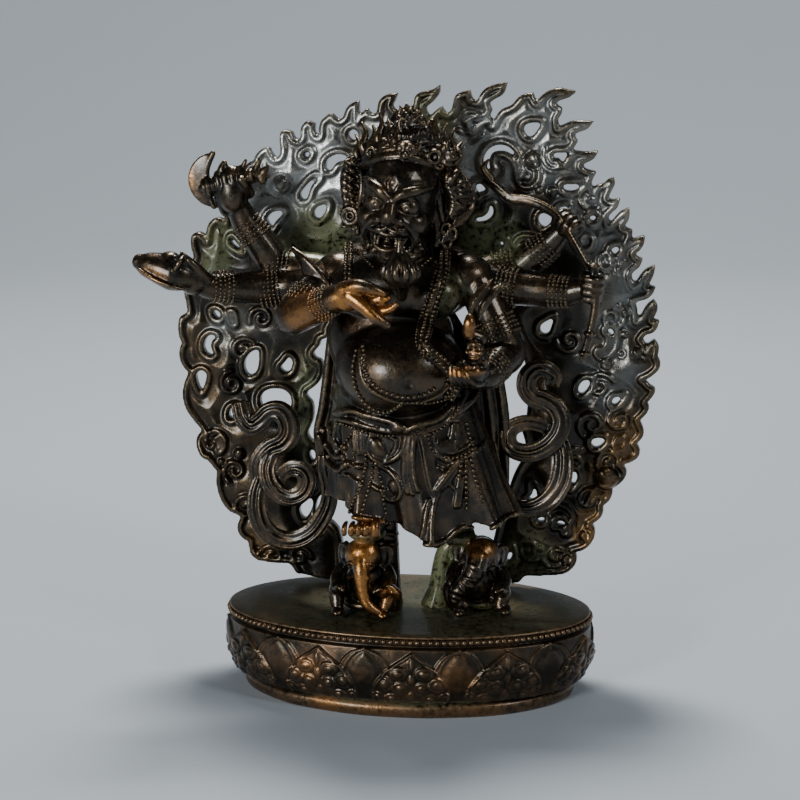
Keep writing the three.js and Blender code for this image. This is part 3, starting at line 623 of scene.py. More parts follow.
# The piercings, each a closed line.
piercings = [
    [(-18.7, 148.4), (-19.3, 149.7), (-20.6, 150.3), (-21.9, 149.7), (-22.5, 148.4), (-21.9, 147.1),
        (-20.6, 146.5), (-19.3, 147.1)],
    [(-29.8, 137.5), (-29.6, 140.1), (-27.6, 141.8), (-25, 142.3), (-22.5, 141.4), (-23.1, 139.8),
        (-25.7, 139.2), (-27.4, 137.2), (-28.8, 136.7)],
    [(-37.2, 141.6), (-36.1, 142.9), (-34.8, 143.2), (-34.5, 142.2), (-35.8, 140.6)],
    [(-32.3, 135.2), (-31.6, 134.3), (-33.9, 131.7), (-35.1, 128.4), (-36.6, 127.3), (-38, 128.1), (-38, 130),
        (-36.2, 132.3), (-33.9, 134.6)],
    [(-29.1, 126.3), (-29.6, 123.7), (-31.1, 121.7), (-33, 121.5), (-33.8, 123.3), (-33, 125.1),
        (-31.4, 125.9)],
    [(-49.5, 121.1), (-47.5, 123.3), (-43.5, 123.8), (-43.9, 122.2), (-45.9, 120.2), (-47.5, 118.2),
        (-49.2, 119.8)],
    [(-61.2, 114.4), (-60.5, 114.7), (-59.2, 113.5), (-56.9, 111.1), (-57.9, 110.7), (-60.2, 111.7),
        (-61.4, 112.8)],
    [(-67.8, 90.7), (-66, 90.8), (-64.8, 89.7), (-65.3, 88.1), (-66.7, 88.1), (-67.7, 89.3)],
    [(-61.6, 89.7), (-60.6, 89.7), (-60.3, 86.8), (-61.2, 87.1)],
    [(-71.2, 78.8), (-70.5, 81.2), (-68.8, 82.6), (-66.8, 82.3), (-66.6, 81.3), (-67.8, 80.1), (-67.9, 78.3),
        (-67.2, 76.6), (-68.3, 75.6), (-69.9, 76), (-70.9, 77.2)],
    [(-52.3, 77.6), (-52.3, 73.6), (-53.2, 70.6), (-55.3, 69), (-56.9, 69.5), (-57.7, 71.5), (-57.5, 74.2),
        (-56.1, 76.5), (-54.1, 77.8)],
    [(-42.5, 75.9), (-41.1, 74.6), (-41.2, 72.6), (-42.2, 70.9), (-43.9, 70.5), (-45.2, 71.5), (-45.3, 72.8),
        (-44.1, 74.2)],
    [(-74, 69), (-72.8, 70.4), (-71.1, 70.5), (-69.9, 69.1), (-70.5, 66.1), (-71.5, 64), (-72.2, 63.4),
        (-73.1, 64.3), (-73.9, 66.7)],
    [(-52.4, 60.9), (-51.7, 63.3), (-49.6, 64.8), (-46.9, 65.3), (-43.9, 64.8), (-41.9, 62.9), (-41.5, 60.2),
        (-42.2, 58), (-43.7, 57.8), (-45.4, 57.1), (-48.4, 56.6), (-51.1, 57.9)],
    [(-63.1, 56.2), (-62.5, 57.9), (-61.2, 58.6), (-59.8, 58), (-60.2, 55.6), (-61.6, 54.5), (-62.8, 54.8)],
    [(-66.3, 47.6), (-65.1, 47.3), (-65, 45.3), (-66.2, 44)],
    [(-39.3, 25.6), (-37.3, 27.4), (-35.3, 28.9), (-34.6, 26.5), (-35.6, 23.4), (-37.4, 20.9), (-39, 21.5),
        (-39.7, 23.6)],
    [(-36.1, 43.8), (-35.1, 45), (-33.9, 44.2), (-33.8, 41.9), (-34.8, 40.5), (-35.8, 41.5)],
    [(33.6, 150.6), (34.4, 152.3), (36.6, 153), (39.4, 152.6), (38.4, 150.2), (36.6, 148.4), (34.8, 148.6)],
    [(20.9, 139.8), (21.1, 142.1), (22.5, 144.3), (24.7, 145.6), (27.3, 145.9), (30, 144.8), (32.3, 142.2),
        (33.4, 139.1), (33, 136.7), (32.3, 136.9), (31.8, 139.5), (30.5, 141.7), (28.3, 143), (26.5, 143.2),
        (24.5, 142.8), (23.6, 140.8), (23.8, 139), (24.3, 138.1), (23, 137.6), (21.6, 138.1)],
    [(18.6, 132.7), (20.3, 133.5), (21.9, 132.3), (22.1, 131), (20.3, 130.5), (19.2, 129.5)],
    [(22.8, 126.7), (24.2, 126.4), (24.7, 124.3), (23.7, 122.5), (21.7, 121.3), (18.5, 121.2), (19, 122.9),
        (21.1, 123.4), (22.4, 124.7)],
    [(31.9, 114), (33.4, 115.8), (36.1, 116.1), (38.4, 115.4), (39.8, 114.3), (37.3, 112.8), (35.7, 114.2),
        (33.9, 114.7)],
    [(26.1, 114.2), (27, 115.3), (28.3, 115.2), (27.6, 113.4), (26.5, 113.2)],
    [(38.6, 122.3), (39.4, 124.2), (41.4, 124.4), (43.7, 122.8), (42.7, 121), (41, 119.8), (39.3, 120.7)],
    [(45.2, 125.1), (45.6, 126.4), (48.3, 126.8), (48.3, 125.3), (46.9, 124.1)],
    [(46.3, 132.6), (47, 133.7), (52.2, 133.6), (51.4, 132), (49.2, 131.4), (47, 131.7)],
    [(54.6, 123.2), (56, 124), (57.4, 123.4), (56.6, 122.1), (55.1, 122.2)],
    [(61.9, 113.4), (64, 114.2), (64.8, 113), (63.4, 111.5), (62.1, 112.1)],
    [(44.4, 91), (42.2, 90.2), (39.9, 88.5), (39.8, 86.2), (41.3, 85.3), (42.9, 85.9), (43.8, 88.2)],
    [(61.3, 87.7), (62.9, 87.7), (63.8, 85.5), (63.5, 82.2), (62.1, 79.9), (59.9, 78.7), (58.7, 79.8),
        (58.9, 80.7), (60.8, 80.9), (61.9, 82.8), (62, 85.1), (60.7, 86.7)],
    [(54.3, 70.7), (55.9, 70.9), (56.3, 69.3), (55.3, 67.3), (53.8, 66), (52.5, 66.3), (52.1, 67.9),
        (53, 69.9)],
    [(62.9, 63.6), (63.7, 65.3), (65.6, 65.8), (67.2, 65.8), (66.3, 64.4), (65, 63), (63.7, 62.6)],
    [(56.6, 50.2), (57.5, 51.7), (59.5, 52.1), (61.2, 51.7), (61.3, 50.4), (59.5, 48.8), (57.6, 48.6)],
    [(65, 49.3), (65.4, 50.8), (66.4, 51.5), (67, 50.5), (66.1, 49)],
    [(50.8, 40.7), (52.3, 40.1), (52.7, 38.1), (52, 36.1), (50.6, 34.7), (50.4, 37.3)],
    [(37.5, 35.9), (39, 34.6), (39.7, 32.6), (39.6, 30.3), (36.6, 30.2), (36.6, 31.3), (37.7, 32.9)],
    [(39.3, 24.2), (42.2, 24.9), (42.3, 23.4), (40.8, 22.7), (39.5, 23.2)],
    [(45.6, 21.7), (46.3, 23.5), (48.1, 23.7), (49.3, 22.5), (49.3, 20.5), (48.5, 20), (48, 21.5),
        (46.7, 21.7)],
    [(31.4, 13.8), (31.9, 11.6), (31.1, 9.4), (30.1, 8.8), (29.4, 10.2), (30.1, 11.9)],
]
# Round knobs cast on the plate: across, up, and their radius.
knobs = [
    (-44.4, 131.9, 2.9), (36.7, 140.9, 2.6), (38.7, 131.7, 1.3), (42.9, 131.2, 1.6), (62.8, 93.2, 1),
    (66.9, 92.7, 1.6), (66.5, 85.5, 1.3), (65.6, 79.4, 1), (70.7, 80.1, 1.6), (60.9, 76, 2),
    (61.7, 38.4, 3.9), (55.2, 18.7, 2), (49.5, 10.3, 2), (40.9, 14.1, 1.3), (43.3, 7.7, 1), (46.8, 13.6, 1),
    (-63.6, 34, 1.6), (-59.4, 42.7, 2), (-65.6, 39.8, 1.3), (-54.2, 8.8, 1.3), (-69.2, 45.5, 1.6),
]

# Scrolls raised on the plate, set out in the manner of the picture's: the middle, the outer radius in
# millimetres, and the turn in degrees that each starts at; a minus radius curls the other way.
scrolls = [
    (243, 350, 4.2, 40), (262, 318, -4.4, 200), (232, 384, 4.6, 90), (214, 441, 4.4, 10),
    (236, 470, -4.6, 250), (246, 508, 4.8, 60), (272, 556, -4.4, 180), (300, 556, 4.2, 0),
    (470, 120, 4.8, 220), (525, 176, -5.0, 40), (556, 158, 4.4, 140), (590, 196, -4.6, 300),
    (585, 240, 5.0, 100), (607, 262, 4.2, 330), (612, 318, -4.8, 60), (570, 340, 4.6, 180),
    (600, 386, 4.8, 20), (592, 424, -5.2, 250), (620, 420, 4.2, 120), (574, 462, 5.0, 60),
    (610, 462, -4.4, 200), (588, 500, 4.8, 320), (560, 520, -4.8, 90), (592, 536, 4.4, 30),
    (556, 556, 4.6, 200), (530, 548, -4.4, 300),
]


def curl(px, py, radius, start):
    """A scroll's line on the plate, curling in one and a quarter turns to its eye."""
    x, _, z = seen(px, py, aureole_front, 0)
    t = np.linspace(0, 1, 60)
    turn = radians(start) + copysign(1, radius) * t * 7.8
    r = abs(radius) * (1 - 0.78 * t**0.8)
    return np.column_stack([x + r * np.cos(turn), z - LIFT + r * np.sin(turn)])


def opened(loop):
    """A piercing widened down and to the left, so that the plate's thickness doesn't close it."""
    low, high = loop.min(0), loop.max(0)
    share = (high - loop) / (high - low)
    return loop - share * np.array((0.55, 0.75)) * 0.8


def plate(height):
    """The pierced plate, its edges rounded, standing on its feet."""
    curve = bpy.data.curves.new("plate", "CURVE")
    curve.dimensions = "2D"
    curve.fill_mode = "BOTH"
    curve.extrude = (aureole_back - aureole_front) / 2 - 0.5
    curve.bevel_depth = 0.5
    curve.bevel_resolution = 1
    edge = np.vstack([flowing(flame_edge), flowing(opening_edge)])
    loops = [edge, *[opened(flowing(hole, closed=True, gap=0.4)) for hole in piercings]]
    for loop in loops:
        spline = curve.splines.new("POLY")
        spline.points.add(len(loop) - 1)
        flat = np.column_stack([loop, np.zeros(len(loop)), np.ones(len(loop))])
        spline.points.foreach_set("co", flat.astype(np.float32).ravel())
        spline.use_cyclic_u = True
    holder = bpy.data.objects.new("plate", curve)
    link(holder)
    graph = bpy.context.evaluated_depsgraph_get()
    mesh = bpy.data.meshes.new_from_object(holder.evaluated_get(graph))
    bpy.data.objects.remove(holder)
    middle = (aureole_front + aureole_back) / 2
    mesh.transform(Matrix.Translation((0, middle, height)) @ Matrix.Rotation(pi / 2, 4, "X"))
    return mesh, loops


def distance_to(marks, co):
    """How far each vertex of the plate is from the nearest mark, across and up."""
    tree = KDTree(len(marks))
    for i, (x, z) in enumerate(marks):
        tree.insert((x, z, 0), i)
    tree.balance()
    return np.array([tree.find((x, z, 0))[2] for x, z in co[:, [0, 2]]])


def front_spots(spots, by_picture=False):
    """Soft patches on the plate's front alone: each a middle, a half width, a half height and a strength."""
    return [
        (seen(a, b, patch_at, 0) if by_picture else (a, patch_at, b), (wide, patch_deep, tall), strength)
        for a, b, wide, tall, strength in spots
    ]


def aureole():
    mesh, loops = plate(0)
    clay = bmesh.new()
    clay.from_mesh(mesh)
    bmesh.ops.remove_doubles(clay, verts=clay.verts, dist=0.001)
    bmesh.ops.recalc_face_normals(clay, faces=clay.faces)
    mesh = fused(clay, 0.5, 1, before_dents)
    co = places(mesh)
    n = normals(mesh)
    near = distance_to(np.vstack(loops), co)
    # A rolled rim along every edge, a groove inside it, and a body that swells again.
    relief = 0.6 * bump(near, 0.8, 0.65) - 0.35 * bump(near, 2.2, 1.0) + 0.8 * ramp(near, 2.8, 6.5)
    for x, z, radius in knobs:
        far = np.hypot(co[:, 0] - x, co[:, 2] - z) / radius
        relief += 0.62 * radius * np.sqrt(np.clip(1 - far**2, 0, 1)) - 0.4 * bump(far, 1.15, 0.2)
    off = distance_to(np.vstack([curl(*scroll) for scroll in scrolls]), co)
    relief += (0.75 * bump(off, 0, 0.62) - 0.3 * bump(off, 1.35, 0.45)) * ramp(near, 0.8, 1.8)
    wave = np.array([noise.noise(Vector((x / 13, 3.3, z / 13))) for x, z in co[:, [0, 2]]])
    front = ramp(-n[:, 1], 0.1, 0.8)
    back = ramp(n[:, 1], 0.1, 0.8)
    co[:, 1] += 1.6 * wave * ramp(co[:, 2], 4, 20) - relief * front + 0.45 * relief * back
    move(mesh, co + np.array((0, 0, LIFT)))
    mesh = thinned(mesh, most_triangles["aureole"])
    rubbed = front_spots(
        [
            (-63, 62, 16, 30, 0.12), (-72, 95, 10, 20, 0.12), (60, 64, 7, 9, 0.35), (68, 80, 8, 14, 0.36),
            (55, 46, 5, 5, 0.6), (56, 52, 5, 4, 0.4), (-52, 40, 8, 8, 0.3),
        ]
    )
    green = front_spots(
        [
            (-33, 142, 12, 14, 0.9), (24, 140, 12, 14, 0.9), (-37, 84, 5, 22, 0.7), (-64, 140, 7, 8, 0.7),
            (36, 38, 10, 12, 0.45), (6, 180, 9, 9, 0.5),
        ]
    )
    green += front_spots([(215, 262, 6, 6, 0.9)], True)
    # Painted sheen on the plate's front: silvery patches where the window's reflection would fall, brightest
    # at the top left.
    painted_sheen = front_spots(
        [
            (300, 165, 24, 18, 1.0), (270, 200, 14, 12, 0.8), (350, 130, 16, 9, 0.7), (480, 150, 16, 18, 0.6),
            (545, 140, 22, 16, 0.45), (600, 210, 15, 17, 0.45), (618, 290, 11, 20, 0.4),
            (610, 370, 12, 18, 0.25),
            (230, 330, 10, 8, 0.25),
        ],
        True,
    )
    weather(mesh, rubbed, green, painted_sheen)
    # The rims' worn colour is faded lower down, as painted shade towards the plate's foot.
    note(mesh, "edge", noted(mesh, "edge") * (0.3 + 0.7 * ramp(places(mesh)[:, 2], 75, 130)))
    shown("pierced_flame_aureole", mesh, aureole_bronze, "flame_aureole")


# The plinth

def dome(a, h, middle_a, middle_h, radius_a, radius_h):
    return np.sqrt(((a - middle_a) / radius_a) ** 2 + ((h - middle_h) / radius_h) ** 2)


def petal_relief(a, h, tall):
    """The lotus band's relief: a is across from a pointed petal's middle, with a round petal at each side."""
    t = h / tall
    a = np.abs(a)
    side = 15 - a
    heights = [0, 0.12, 0.3, 0.48, 0.62, 0.74, 0.84, 0.93, 1]
    half = np.interp(t, heights, [11.8, 12.9, 12.4, 10.2, 8.3, 5.6, 2.9, 0.8, -0.8])
    inside = half - a
    arch = np.interp(t, [0, 0.55, 0.72, 0.84, 0.93, 1.0], [8.6, 8.4, 7.4, 5.9, 4.1, 0.6]) - side
    relief = 0.35 + 0.35 * ramp(arch, -0.3, 0.3) + 0.5 * bump(arch, 0.3, 0.4) + 0.4 * bump(arch, 1.7, 0.4)
    relief += 0.5 * ramp(arch, 2.4, 5.5)
    petal = 1.3 * ramp(inside, -0.3, 0.35) + 0.5 * bump(inside, 0.5, 0.4) - 0.2 * bump(inside, 1.6, 0.5)
    for middle_a, middle_h, radius_a, radius_h, high in (
        (0, 12.4, 0.8, 2.8, 0.6), (4.0, 9.9, 3.2, 2.4, 1.1), (0, 7.4, 1.3, 2.4, 0.7),
        (8.4, 6.2, 3.2, 2.7, 0.95), (3.4, 4.9, 2.7, 2.4, 0.9), (0, 1.9, 1.6, 2.0, 0.5),
        (6.2, 1.4, 2.7, 1.7, 0.7), (11.0, 1.8, 2.2, 1.9, 0.7),
    ):
        q = dome(a, h, middle_a, middle_h, radius_a, radius_h)
        petal += high * np.sqrt(np.clip(1 - q**2, 0, 1)) - 0.3 * bump(q, 0.55, 0.16) * (middle_a > 0)
    return np.where(inside > -0.3, np.maximum(relief, petal), relief)


band_tall = 17


def plinth():
    # Height, how far it stands out from the top's edge, and its share of the foot's inset.
    profile = [
        (0.0, -0.6, 1), (0.5, 0, 1), (1.6, 0.5, 1), (3, 0.5, 1), (4.1, 0.2, 1), (4.6, -0.9, 1),
        (5.1, -1.5, 0.95),
    ]
    band = [
        (5.6 + band_tall * t, 2 * sin(pi * (0.12 + t * 0.66)) - 1.4, (1 - t) ** 2 * 0.55)
        for t in np.linspace(0, 1, 60)
    ]
    upper = [
        (22.8, -1.1, 0), (23.2, -1.5, 0), (23.7, -1.3, 0), (23.9, -0.4, 0), (24.2, 0, 0), (25.2, -0.1, 0),
    ]
    upper += [(25.9, -0.3, 0), (26.1, 0.1, 0), (26.6, 0.1, 0), (26.8, -0.5, 0)]
    rows = [*profile, *band, *upper]
    steps = 720
    bm = bmesh.new()
    line = [bm.verts.new((1, 0, i)) for i in range(len(rows))]
    line = [bm.verts.new((0.02, 0, 0)), *line]
    tops = [bm.verts.new((share, 0, len(rows) - 1 + k)) for k, share in ((1, 0.9), (2, 0.6), (3, 0.02))]
    line += tops
    links = [bm.edges.new(pair) for pair in zip(line, line[1:])]
    bmesh.ops.spin(
        bm, geom=[*line, *links], axis=(0, 0, 1), cent=(0, 0, 0), angle=tau, steps=steps, use_merge=True,
    )
    bmesh.ops.remove_doubles(bm, verts=bm.verts, dist=0.0005)
    open_edges = [e for e in bm.edges if e.is_boundary]
    bmesh.ops.holes_fill(bm, edges=open_edges, sides=0)
    bmesh.ops.recalc_face_normals(bm, faces=bm.faces)
    mesh = kept(bm)
    co = places(mesh)
    angle = np.arctan2(co[:, 1], co[:, 0])
    # The petals are spaced by their length along the edge, not by angle.
    dense = np.linspace(-pi, pi, 2001)
    wide, deep = plinth_half
    rim = np.column_stack([wide * np.cos(dense), deep * np.sin(dense)])
    length = np.concatenate([[0], np.cumsum(np.linalg.norm(np.diff(rim, axis=0), axis=1))])
    true = np.interp((angle + pi) / tau * length[-1], length, dense)
    pitch = length[-1] / petal_count
    turn = np.interp(true, dense, length) - np.interp(-pi / 2 + radians(5.4), dense, length)
    a = (turn / pitch + 0.5) % 1 * pitch - pitch / 2
    a *= 15 / (pitch / 2)
    row = np.clip(np.rint(co[:, 2]).astype(int), 0, len(rows) - 1)
    table = np.array(rows)
    height, out, low = table[row].T
    first, last = len(profile), len(profile) + len(band) - 1
    banded = (row >= first) & (row <= last)
    fade = np.where(banded, 1.0, 0.0)
    relief = petal_relief(a, height - 5.6, band_tall) * fade
    wobble = np.array([noise.noise(Vector((x * 3, y * 3, 0))) for x, y in zip(np.cos(true), np.sin(true))])
    out = out + relief + wobble * 0.5 * (row < 5)
    share = np.hypot(co[:, 0], co[:, 1])
    share = np.where((row >= len(rows) - 1) | (share < 0.5), share, 1)
    x = (wide + out - 5.2 * low) * np.cos(true) * share
    y = (deep + out - 1.5 * low) * np.sin(true) * share
    z = np.where(co[:, 2] > len(rows) - 0.5, plinth_top - 0.1, height)
    move(mesh, np.column_stack([x, y, z]))
    weather(
        mesh,
        rubbed=[
            ((-12, -31, 2), (16, 8, 4), 0.4), ((22, -31, 1.4), (26, 8, 3), 0.35),
            ((-22, -29, 2), (6, 8, 4), 0.7), ((20, -34, 14), (7, 6, 5), 0.35),
            ((-27, -30, 15), (5, 6, 4), 0.5),
        ],
        green=[((11, -5, 26.8), (19, 9, 3), 1.0), ((-34, 18, 26.8), (12, 9, 3), 0.6), ((34, 16, 26.8),
            (12, 9, 3), 0.6), ((0, -33, 5), (60, 9, 1.4), 0.5)],
    )
    # The flat top gets the recesses' painted shade in full and some green, so it is dark and dull.
    flat = (places(mesh)[:, 2] > 26) & (normals(mesh)[:, 2] > 0.8)
    note_on(mesh, "recess_shade", flat, 0.9)
    note_on(mesh, "green", flat, 0.42)
    shown("lotus_plinth_casting", mesh, plinth_bronze, "lotus_plinth")
    # The row of beads under the top's edge.
    count = int(length[-1] / 2.05)
    beads = bmesh.new()
    for k in range(count):
        t = np.interp(k / count * length[-1], length, dense)
        place = ((wide + 0.1) * cos(t), (deep + 0.1) * sin(t), 25)
        dot(beads, place, 0.92 * random.uniform(0.94, 1.04))
    mesh = kept(beads)
    weather(mesh)
    note_all(mesh, "edge", 0.75)
    shown("plinth_rim_beads", mesh, plinth_bronze)


def bead(clay, place, radius):
    mesh, co = core(bar_mesh, 6, 4)
    lay(clay, mesh, co * radius + np.array(place))


# The figure

eye_figure = eye - Vector((0, 0, LIFT))
both = (-1, 1)


def struck(skin, px, py):
    """The place and the normal where the camera's sight of a picture place meets a skin."""
    return skin.ray_cast(eye_figure, sight(px, py))[:2]


def on_skin(skin, marks, rise=0.0, gap=1.0, jump=4.0):
    """Even places where a line drawn in the picture falls on a skin, parted where the line jumps."""
    line, _ = smooth(marks, gap=1.0)
    runs = [[]]
    for px, py in line:
        place, normal = struck(skin, px, py)
        if place is None:
            continue
        place = np.array(place + normal * rise)
        if runs[-1] and np.linalg.norm(place - runs[-1][-1]) > jump:
            runs.append([])
        runs[-1].append(place)
    return [smooth(run, gap=gap)[0] for run in runs if len(run) > 3]


def as_skin(mesh):
    bm = bmesh.new()
    bm.from_mesh(mesh)
    tree = BVHTree.FromBMesh(bm)
    bm.free()
    return tree


def press(mesh, marks):
    """Pushes soft dents into a mesh: each a middle, a radius and a depth."""
    co = places(mesh)
    n = normals(mesh)
    for middle, radius, depth in marks:
        far = np.linalg.norm((co - np.array(middle)) / np.array(radius), axis=1)
        push = depth * np.exp(-(far**2))
        push[far > 2.5] = 0
        co = co - n * push[:, None]
    move(mesh, co)


def places_round(middle, radius, face, turns, squash=1.0):
    """Places round a middle, facing the face direction."""
    face = unit(np.array(face, float))
    side = unit(np.cross(face, (0.0, 0.0, 1.0) if abs(face[2]) < 0.9 else (0.0, 1.0, 0.0)))
    rise = np.cross(side, face)
    return [np.array(middle) + (side * cos(t) + rise * sin(t) * squash) * radius for t in turns]


def ring(clay, middle, radius, thick, face, count=20, sides=8, squash=1.0):
    """A closed ring round a middle, its hole facing the face direction."""
    points = places_round(middle, radius, face, np.linspace(0, tau * 1.02, count), squash)
    bar(clay, points, thick, sides=sides, step=max(0.5, radius / 5))


def lock(clay, points, radius, flat=0.6):
    """A flame-shaped lock of hair or curl, thick at its root and pointed."""
    bar(clay, points, [radius * 0.8, radius, radius * 0.75, radius * 0.25], flat, sides=8, step=0.7)


def skull(clay, place, size, out, up, dents):
    """A small skull, its sockets noted to be pressed in when the clay is one skin."""
    out, up = unit(np.array(out, float)), unit(np.array(up, float))
    side = np.cross(up, out)
    place = np.array(place, float)
    turn = Matrix((side, -out, up)).transposed()
    ball(clay, place + up * size * 0.35, (size * 0.95, size * 0.9, size * 0.9), turn, 2)
    ball(clay, place - up * size * 0.55 + out * size * 0.25, (size * 0.62, size * 0.55, size * 0.42), turn, 2)
    for s in both:
        dot(clay, place + side * s * size * 0.6 - up * size * 0.05 + out * size * 0.45, size * 0.32)
        dents.append(
            (place + side * s * size * 0.38 + up * size * 0.28 + out * size * 0.85, size * 0.3, size * 0.5)
        )
    dents.append((place - up * size * 0.12 + out * size * 0.9, size * 0.16, size * 0.35))
    dents.append(
        (place - up * size * 0.5 + out * size * 0.8, (size * 0.45, size * 0.45, size * 0.1), size * 0.22)
    )


# The head

def sided(s, *marks):
    """Places given for one side, on the side s."""
    return [(s * x, y, z) for x, y, z in marks]


def face_side(clay, s):
    """One side of the wrathful face: brow of flames, bulging eye, cheek and moustache."""
    ball(clay, (s * 6, -11, -2.4), (4.8, 4.6, 4))
    ball(clay, (s * 7.8, -7.4, 6), (2.8, 5, 4.6))
    bar(
        clay, sided(s, (0.7, -16.4, 3.5), (3.4, -16.5, 5.6), (6.8, -14.4, 6.8), (10.2, -9.6, 7.6)),
        [1.2, 1.6, 1.5, 0.6],
    )
    ball(clay, (s * 4.8, -13.5, 2.1), (3.3, 2.9, 2.7))
    ring(clay, (s * 4.7, -15.65, 2), 1.05, 0.28, (s * 0.12, -1, 0), 14, 6)
    dot(clay, (s * 4.7, -15.6, 2), 0.5)
    wire(
        clay, sided(s, (1.7, -14.6, 1.6), (3, -15.9, 3.9), (5.4, -15.6, 4.5), (8.1, -12.4, 2.7)),
        [0.4, 0.7, 0.75, 0.4],
    )
    wire(
        clay, sided(s, (1.7, -14.6, 1.6), (3.2, -15.5, -0.2), (5.5, -15.1, -0.5), (8.1, -12.4, 2.2)),
        [0.35, 0.6, 0.6, 0.35],
    )
    wire(clay, sided(s, (2.5, -14.9, -1.5), (4.9, -15.1, -2.4), (7.6, -12.9, -1)), [0.5, 0.75, 0.4])
    bar(
        clay, sided(s, (2.8, -15.6, -1), (5.6, -14.4, -3.2), (7.4, -12.4, -6.2), (6.6, -11.2, -9.4)),
        [1.2, 1.7, 1.6, 0.8],
    )
    bar(
        clay,
        sided(
            s, (0.4, -16.2, -4.1), (2.7, -16, -4.8), (5.4, -14.6, -4.9), (8, -12.4, -3.8), (9.4, -10.8, -1.8),
        ),
        [0.8, 1.1, 1.0, 0.8, 0.4], 0.9,
    )
    dot(clay, (s * 2.7, -16, -2.1), (2.1, 2, 1.7))
    for k, z in enumerate((3.1, 4.3)):
        bar(
            clay, sided(s, (0.1, -16.9 + k * 0.2, z + 0.3), (1.6, -16, z - 0.3)), [0.4, 0.25], sides=6,
            step=0.5,
        )
    # Upper and lower fangs.
    bar(
        clay, sided(s, (3.5, -14.6, -5.5), (3.6, -15.4, -7), (3.5, -15.6, -8.6)), [0.75, 0.6, 0.2], sides=8,
        step=0.5,
    )
    bar(
        clay, sided(s, (2.5, -14.6, -9.4), (2.6, -15.4, -8.2), (2.5, -15.4, -7)), [0.6, 0.5, 0.2], sides=8,
        step=0.5,
    )
    # The ear, its long lobe and its drawn-out rim.
    bar(
        clay,
        sided(
            s, (10.6, -2.6, -1), (11.6, -1.8, 4), (13.4, -0.4, 5), (14.2, 0.4, 1.4), (13.2, -0.4, -2.6),
            (12.2, -1.6, -7.6),
        ),
        [0.8, 0.95, 1, 1, 0.95, 1.1],
    )
    ball(clay, (s * 11.4, -0.6, 0.4), (1.6, 2.2, 4.4))
    bar(clay, sided(s, (11, -2.2, -2), (11.8, -2.2, -5), (12, -2, -8.4)), [1, 0.9, 1.1])
    # Beard curls along the jaw.
    for k in range(5):
        t = 0.16 + k * 0.3
        x, y, z = 8.2 * sin(t), -6.6 - 7.2 * cos(t), -11.4 + k * 0.7
        lock(
            clay,
            sided(
                s, (x, y + 0.4, z + 1.2), (x + 0.2, y - 0.5, z), (x + 0.9, y - 0.3, z - 0.8),
                (x + 1.7, y - 0.1, z - 0.5),
            ),
            0.95, 0.85,
        )


